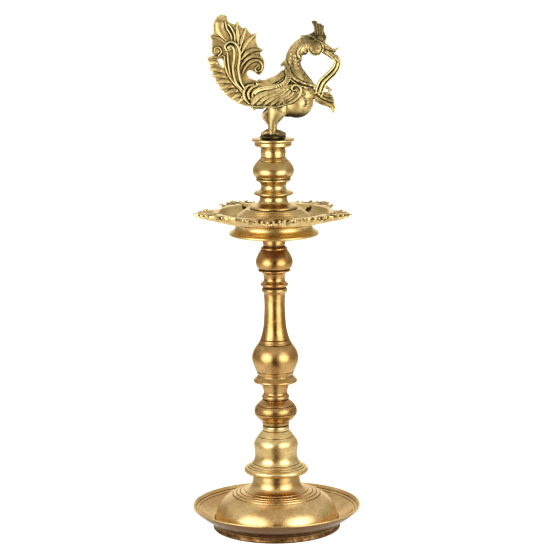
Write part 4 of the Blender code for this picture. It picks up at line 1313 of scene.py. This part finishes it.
class Sky:
    """Small helper to wire the world's nodes together."""

    def __init__(self):
        self.world = bpy.data.worlds.new("studio")
        bpy.context.scene.world = self.world
        self.world.use_nodes = True
        self.tree = self.world.node_tree
        self.tree.nodes.clear()

    def add(self, kind, inputs=(), **settings):
        node = self.tree.nodes.new(kind)
        for key, value in settings.items():
            setattr(node, key, value)
        for slot, value in inputs:
            if hasattr(value, "links"):
                self.tree.links.new(value, node.inputs[slot])
            else:
                node.inputs[slot].default_value = value
        return node

    def step(self, value, low, high, at_low=0.0, at_high=1.0):
        node = self.add("ShaderNodeMapRange", [("Value", value), ("From Min", low), ("From Max", high),
                                               ("To Min", at_low), ("To Max", at_high)],
                        interpolation_type="SMOOTHSTEP")
        return node.outputs[0]

    def math(self, operation, *values):
        return self.add("ShaderNodeMath", list(enumerate(values)), operation=operation).outputs[0]


def add_world():
    """White for the camera. In reflections a studio: pale walls and ceiling, dim behind the camera."""
    sky = Sky()
    way = sky.add("ShaderNodeTexCoord")
    apart = sky.add("ShaderNodeSeparateXYZ", [(0, way.outputs["Generated"])])
    x, y, z = apart.outputs
    glow = sky.add("ShaderNodeValToRGB", [(0, sky.math("MULTIPLY_ADD", z, 0.5, 0.5))])
    ramp = glow.color_ramp.elements
    while len(ramp) < len(STUDIO_GLOW):
        ramp.new(0.5)
    for stop, (rise, strength) in zip(ramp, STUDIO_GLOW):
        stop.position = (rise + 1) / 2
        whiteness = min(max((strength - 0.30) / 0.35, 0), 1)
        stop.color = (strength, strength * (0.88 + 0.10 * whiteness), strength * (0.62 + 0.33 * whiteness), 1)
    aside = sky.math("ABSOLUTE", x)
    beside = sky.math("MAXIMUM", sky.step(aside, 0.20, 0.36), sky.step(y, -0.75, -0.35))
    lit = sky.math("MAXIMUM", beside, sky.step(z, 0.36, 0.68))
    shade = sky.add("ShaderNodeMix", [("Factor", lit), ("A", (0.28, 0.22, 0.11, 1)), ("B", (1, 1, 1, 1))], data_type="RGBA")
    room = sky.add("ShaderNodeMix", [("Factor", 1.0), ("A", glow.outputs[0]), ("B", shade.outputs["Result"])],
                   data_type="RGBA", blend_type="MULTIPLY")
    behind = sky.math("MULTIPLY", sky.step(y, 0.80, 0.99), 0.55)
    walls = sky.add("ShaderNodeBackground", [("Color", room.outputs["Result"]), ("Strength", 1.0)])
    boxes = sky.add("ShaderNodeBackground", [("Color", (1, 0.97, 0.92, 1)), ("Strength", behind)])
    studio = sky.add("ShaderNodeAddShader", [(0, walls.outputs[0]), (1, boxes.outputs[0])])
    backdrop = sky.add("ShaderNodeBackground", [("Color", (1, 1, 1, 1))])
    path = sky.add("ShaderNodeLightPath")
    seen = sky.add("ShaderNodeMixShader", [(0, path.outputs["Is Camera Ray"]), (1, studio.outputs[0]), (2, backdrop.outputs[0])])
    sky.add("ShaderNodeOutputWorld", [(0, seen.outputs[0])])


# Azimuth from the camera's side in degrees and strength of the two soft panels beside the camera.
PANELS = ((-45, 2.6), (45, 2.3))
PANEL_DISTANCE = 0.70
PANEL_HEIGHT = 0.35
PANEL_SIZE = (1.00, 0.95)


def add_panel(name, azimuth, strength):
    """A standing panel whose glow fades from its middle to nothing at its edge. Only reflections and the lamp see it."""
    turn = math.radians(azimuth)
    builder = bmesh.new()
    bmesh.ops.create_grid(builder, x_segments=1, y_segments=1, size=0.5)
    mesh = bpy.data.meshes.new(name)
    builder.to_mesh(mesh)
    builder.free()
    panel = bpy.data.objects.new(name, mesh)
    away = Vector((math.sin(turn), -math.cos(turn), 0))
    stand = Matrix.Translation(away * PANEL_DISTANCE + Vector((0, 0, PANEL_HEIGHT)))
    panel.matrix_world = stand @ away.to_track_quat("Z", "Y").to_matrix().to_4x4() @ Matrix.Diagonal((*PANEL_SIZE, 1, 1))
    panel.visible_camera = False
    panel.visible_shadow = False
    bpy.context.scene.collection.objects.link(panel)
    nodes = Nodes(name)
    distance = nodes.add("ShaderNodeVectorMath", operation="LENGTH")
    nodes.feed(distance.inputs[0], nodes.place)
    glow = nodes.ramp(distance.outputs["Value"], 0.5, 0.10)
    emission = nodes.add("ShaderNodeEmission")
    emission.inputs["Color"].default_value = (1, 0.98, 0.95, 1)
    nodes.feed(emission.inputs["Strength"], nodes.math("MULTIPLY", glow, strength))
    clear = nodes.add("ShaderNodeBsdfTransparent")
    together = nodes.add("ShaderNodeAddShader")
    nodes.feed(together.inputs[0], emission.outputs[0])
    nodes.feed(together.inputs[1], clear.outputs[0])
    output = next(node for node in nodes.tree.nodes if node.type == "OUTPUT_MATERIAL")
    nodes.feed(output.inputs["Surface"], together.outputs[0])
    mesh.materials.append(nodes.material)


def add_floor():
    """A pale floor, nearly white, that takes a faint shadow plus a painted shadow round the lamp's foot, but doesn't
    show in the brass.
    """
    builder = bmesh.new()
    bmesh.ops.create_circle(builder, cap_ends=True, segments=96, radius=6.0)
    mesh = bpy.data.meshes.new("floor")
    builder.to_mesh(mesh)
    builder.free()
    floor = bpy.data.objects.new("floor", mesh)
    floor.location.z = cad_low.z - 0.0002
    floor.visible_glossy = False
    floor.visible_diffuse = False
    floor.visible_shadow = False
    bpy.context.scene.collection.objects.link(floor)
    nodes = Nodes("pale_floor")
    shader = nodes.shader
    shader.inputs["Roughness"].default_value = 0.8
    shader.inputs["Specular IOR Level"].default_value = 0.1
    cloud = nodes.noise(3.0, 3)
    nodes.feed(shader.inputs["Base Color"], nodes.mix(cloud, (0.30, 0.30, 0.30), (0.34, 0.34, 0.34)))
    shader.inputs["Emission Color"].default_value = (1, 1, 1, 1)
    # Painted shadow: the floor's glow is dimmer round the lamp's foot and full further out.
    distance = nodes.add("ShaderNodeVectorMath", operation="LENGTH")
    nodes.feed(distance.inputs[0], nodes.place)
    away = nodes.ramp(distance.outputs["Value"], 0.05, 0.5)
    nodes.feed(shader.inputs["Emission Strength"], nodes.blend(away, 0.90, 1.0))
    mesh.materials.append(nodes.material)


# Brightness in and out: a photographic curve that deepens shadows and lifts highlights.
CONTRAST = ((0.0, 0.0), (0.05, 0.024), (0.1, 0.06), (0.2, 0.15), (0.3, 0.26), (0.45, 0.45), (0.6, 0.67), (0.8, 0.91), (1.0, 1.0))


def set_contrast():
    view = bpy.context.scene.view_settings
    view.view_transform = "Standard"
    view.use_curve_mapping = True
    mapping = view.curve_mapping
    curve = mapping.curves[3]
    while len(curve.points) < len(CONTRAST):
        curve.points.new(0.5, 0.5)
    for point, place in zip(curve.points, CONTRAST):
        point.location = place
    mapping.update()


def build():
    foot = span(PEACOCK)[0].z
    pale = worn_brass("pale_brass", (0.92, 0.78, 0.46), (0.80, 0.61, 0.33), (0.075, 0.05, 0.022), 0.95, 0.5, 0.5, 0.30,
                      mottle=0.25)
    # Real soil darkens the foot towards the bottom; downward faces under the tray's flare take painted shade in the
    # soil colour.
    base = worn_brass("base_brass", (0.85, 0.68, 0.385), (0.71, 0.50, 0.25), (0.075, 0.05, 0.022), 0.95, 0.5, 0.5, 0.28,
                      soil_and_shade=(9, (0.17, 0.085, 0.03), 0.10), mottle=0.15)
    red = worn_brass("red_brass", (0.68, 0.49, 0.25), (0.54, 0.35, 0.15), (0.06, 0.038, 0.016), 0.95, 0.5, 0.6, 0.27,
                     mottle=0.30)
    gold = worn_brass("gold_brass", (0.78, 0.63, 0.34), (0.65, 0.485, 0.235), (0.055, 0.045, 0.02), 0.95, 0.3, 0.3, 0.27,
                      mottle=0.15)
    # Bird casting: painted shade round given spots on its head, neck and legs and on its downward faces; ridges
    # lightened as wear plus a painted highlight.
    cast = worn_brass("cast_brass", (0.87, 0.73, 0.41), (0.64, 0.50, 0.25), (0.04, 0.032, 0.014), 1.0, 0.0, 0.3, 0.40,
                      relief_range=(0.02, 0.17), soil_and_shade=(foot + 7, (0.07, 0.058, 0.03), 0.45), clouding=0.7, mottle=0.9,
                      metal=0.78, wear_and_sheen=0.95, clean_behind=-20,
                      shade_spots=((50, foot + 124, 0.75), (4, foot + 20, 0.5), (26, foot + 84, 0.3), (24, foot + 26, 0.35)))
    rod = worn_brass("rod_brass", (0.80, 0.63, 0.34), (0.64, 0.46, 0.22), (0.08, 0.055, 0.02), 0.9, 0.4, 0.2, 0.3)
    leather = oiled_leather("leather")
    build_base(base)
    build_bell(pale)
    build_knop(red)
    build_column(red)
    build_pillar(gold)
    build_dish(gold)
    build_peacock(cast)
    for _, _, stud in SCREWED:
        build_stud(stud, rod)
    for washer in ("bell_joint_washer", "knop_joint_washer", "column_joint_washer", "dish_seat_washer",
                   "dish_top_washer", "finial_washer"):
        build_washer(washer, leather)
    add_floor()
    add_world()
    add_softbox("top_light", 180, 65, 2.4, 1.6, 1.6, 6)
    for azimuth, strength in PANELS:
        add_panel("panel_left" if azimuth < 0 else "panel_right", azimuth, strength)
    add_camera()
    set_contrast()


build()
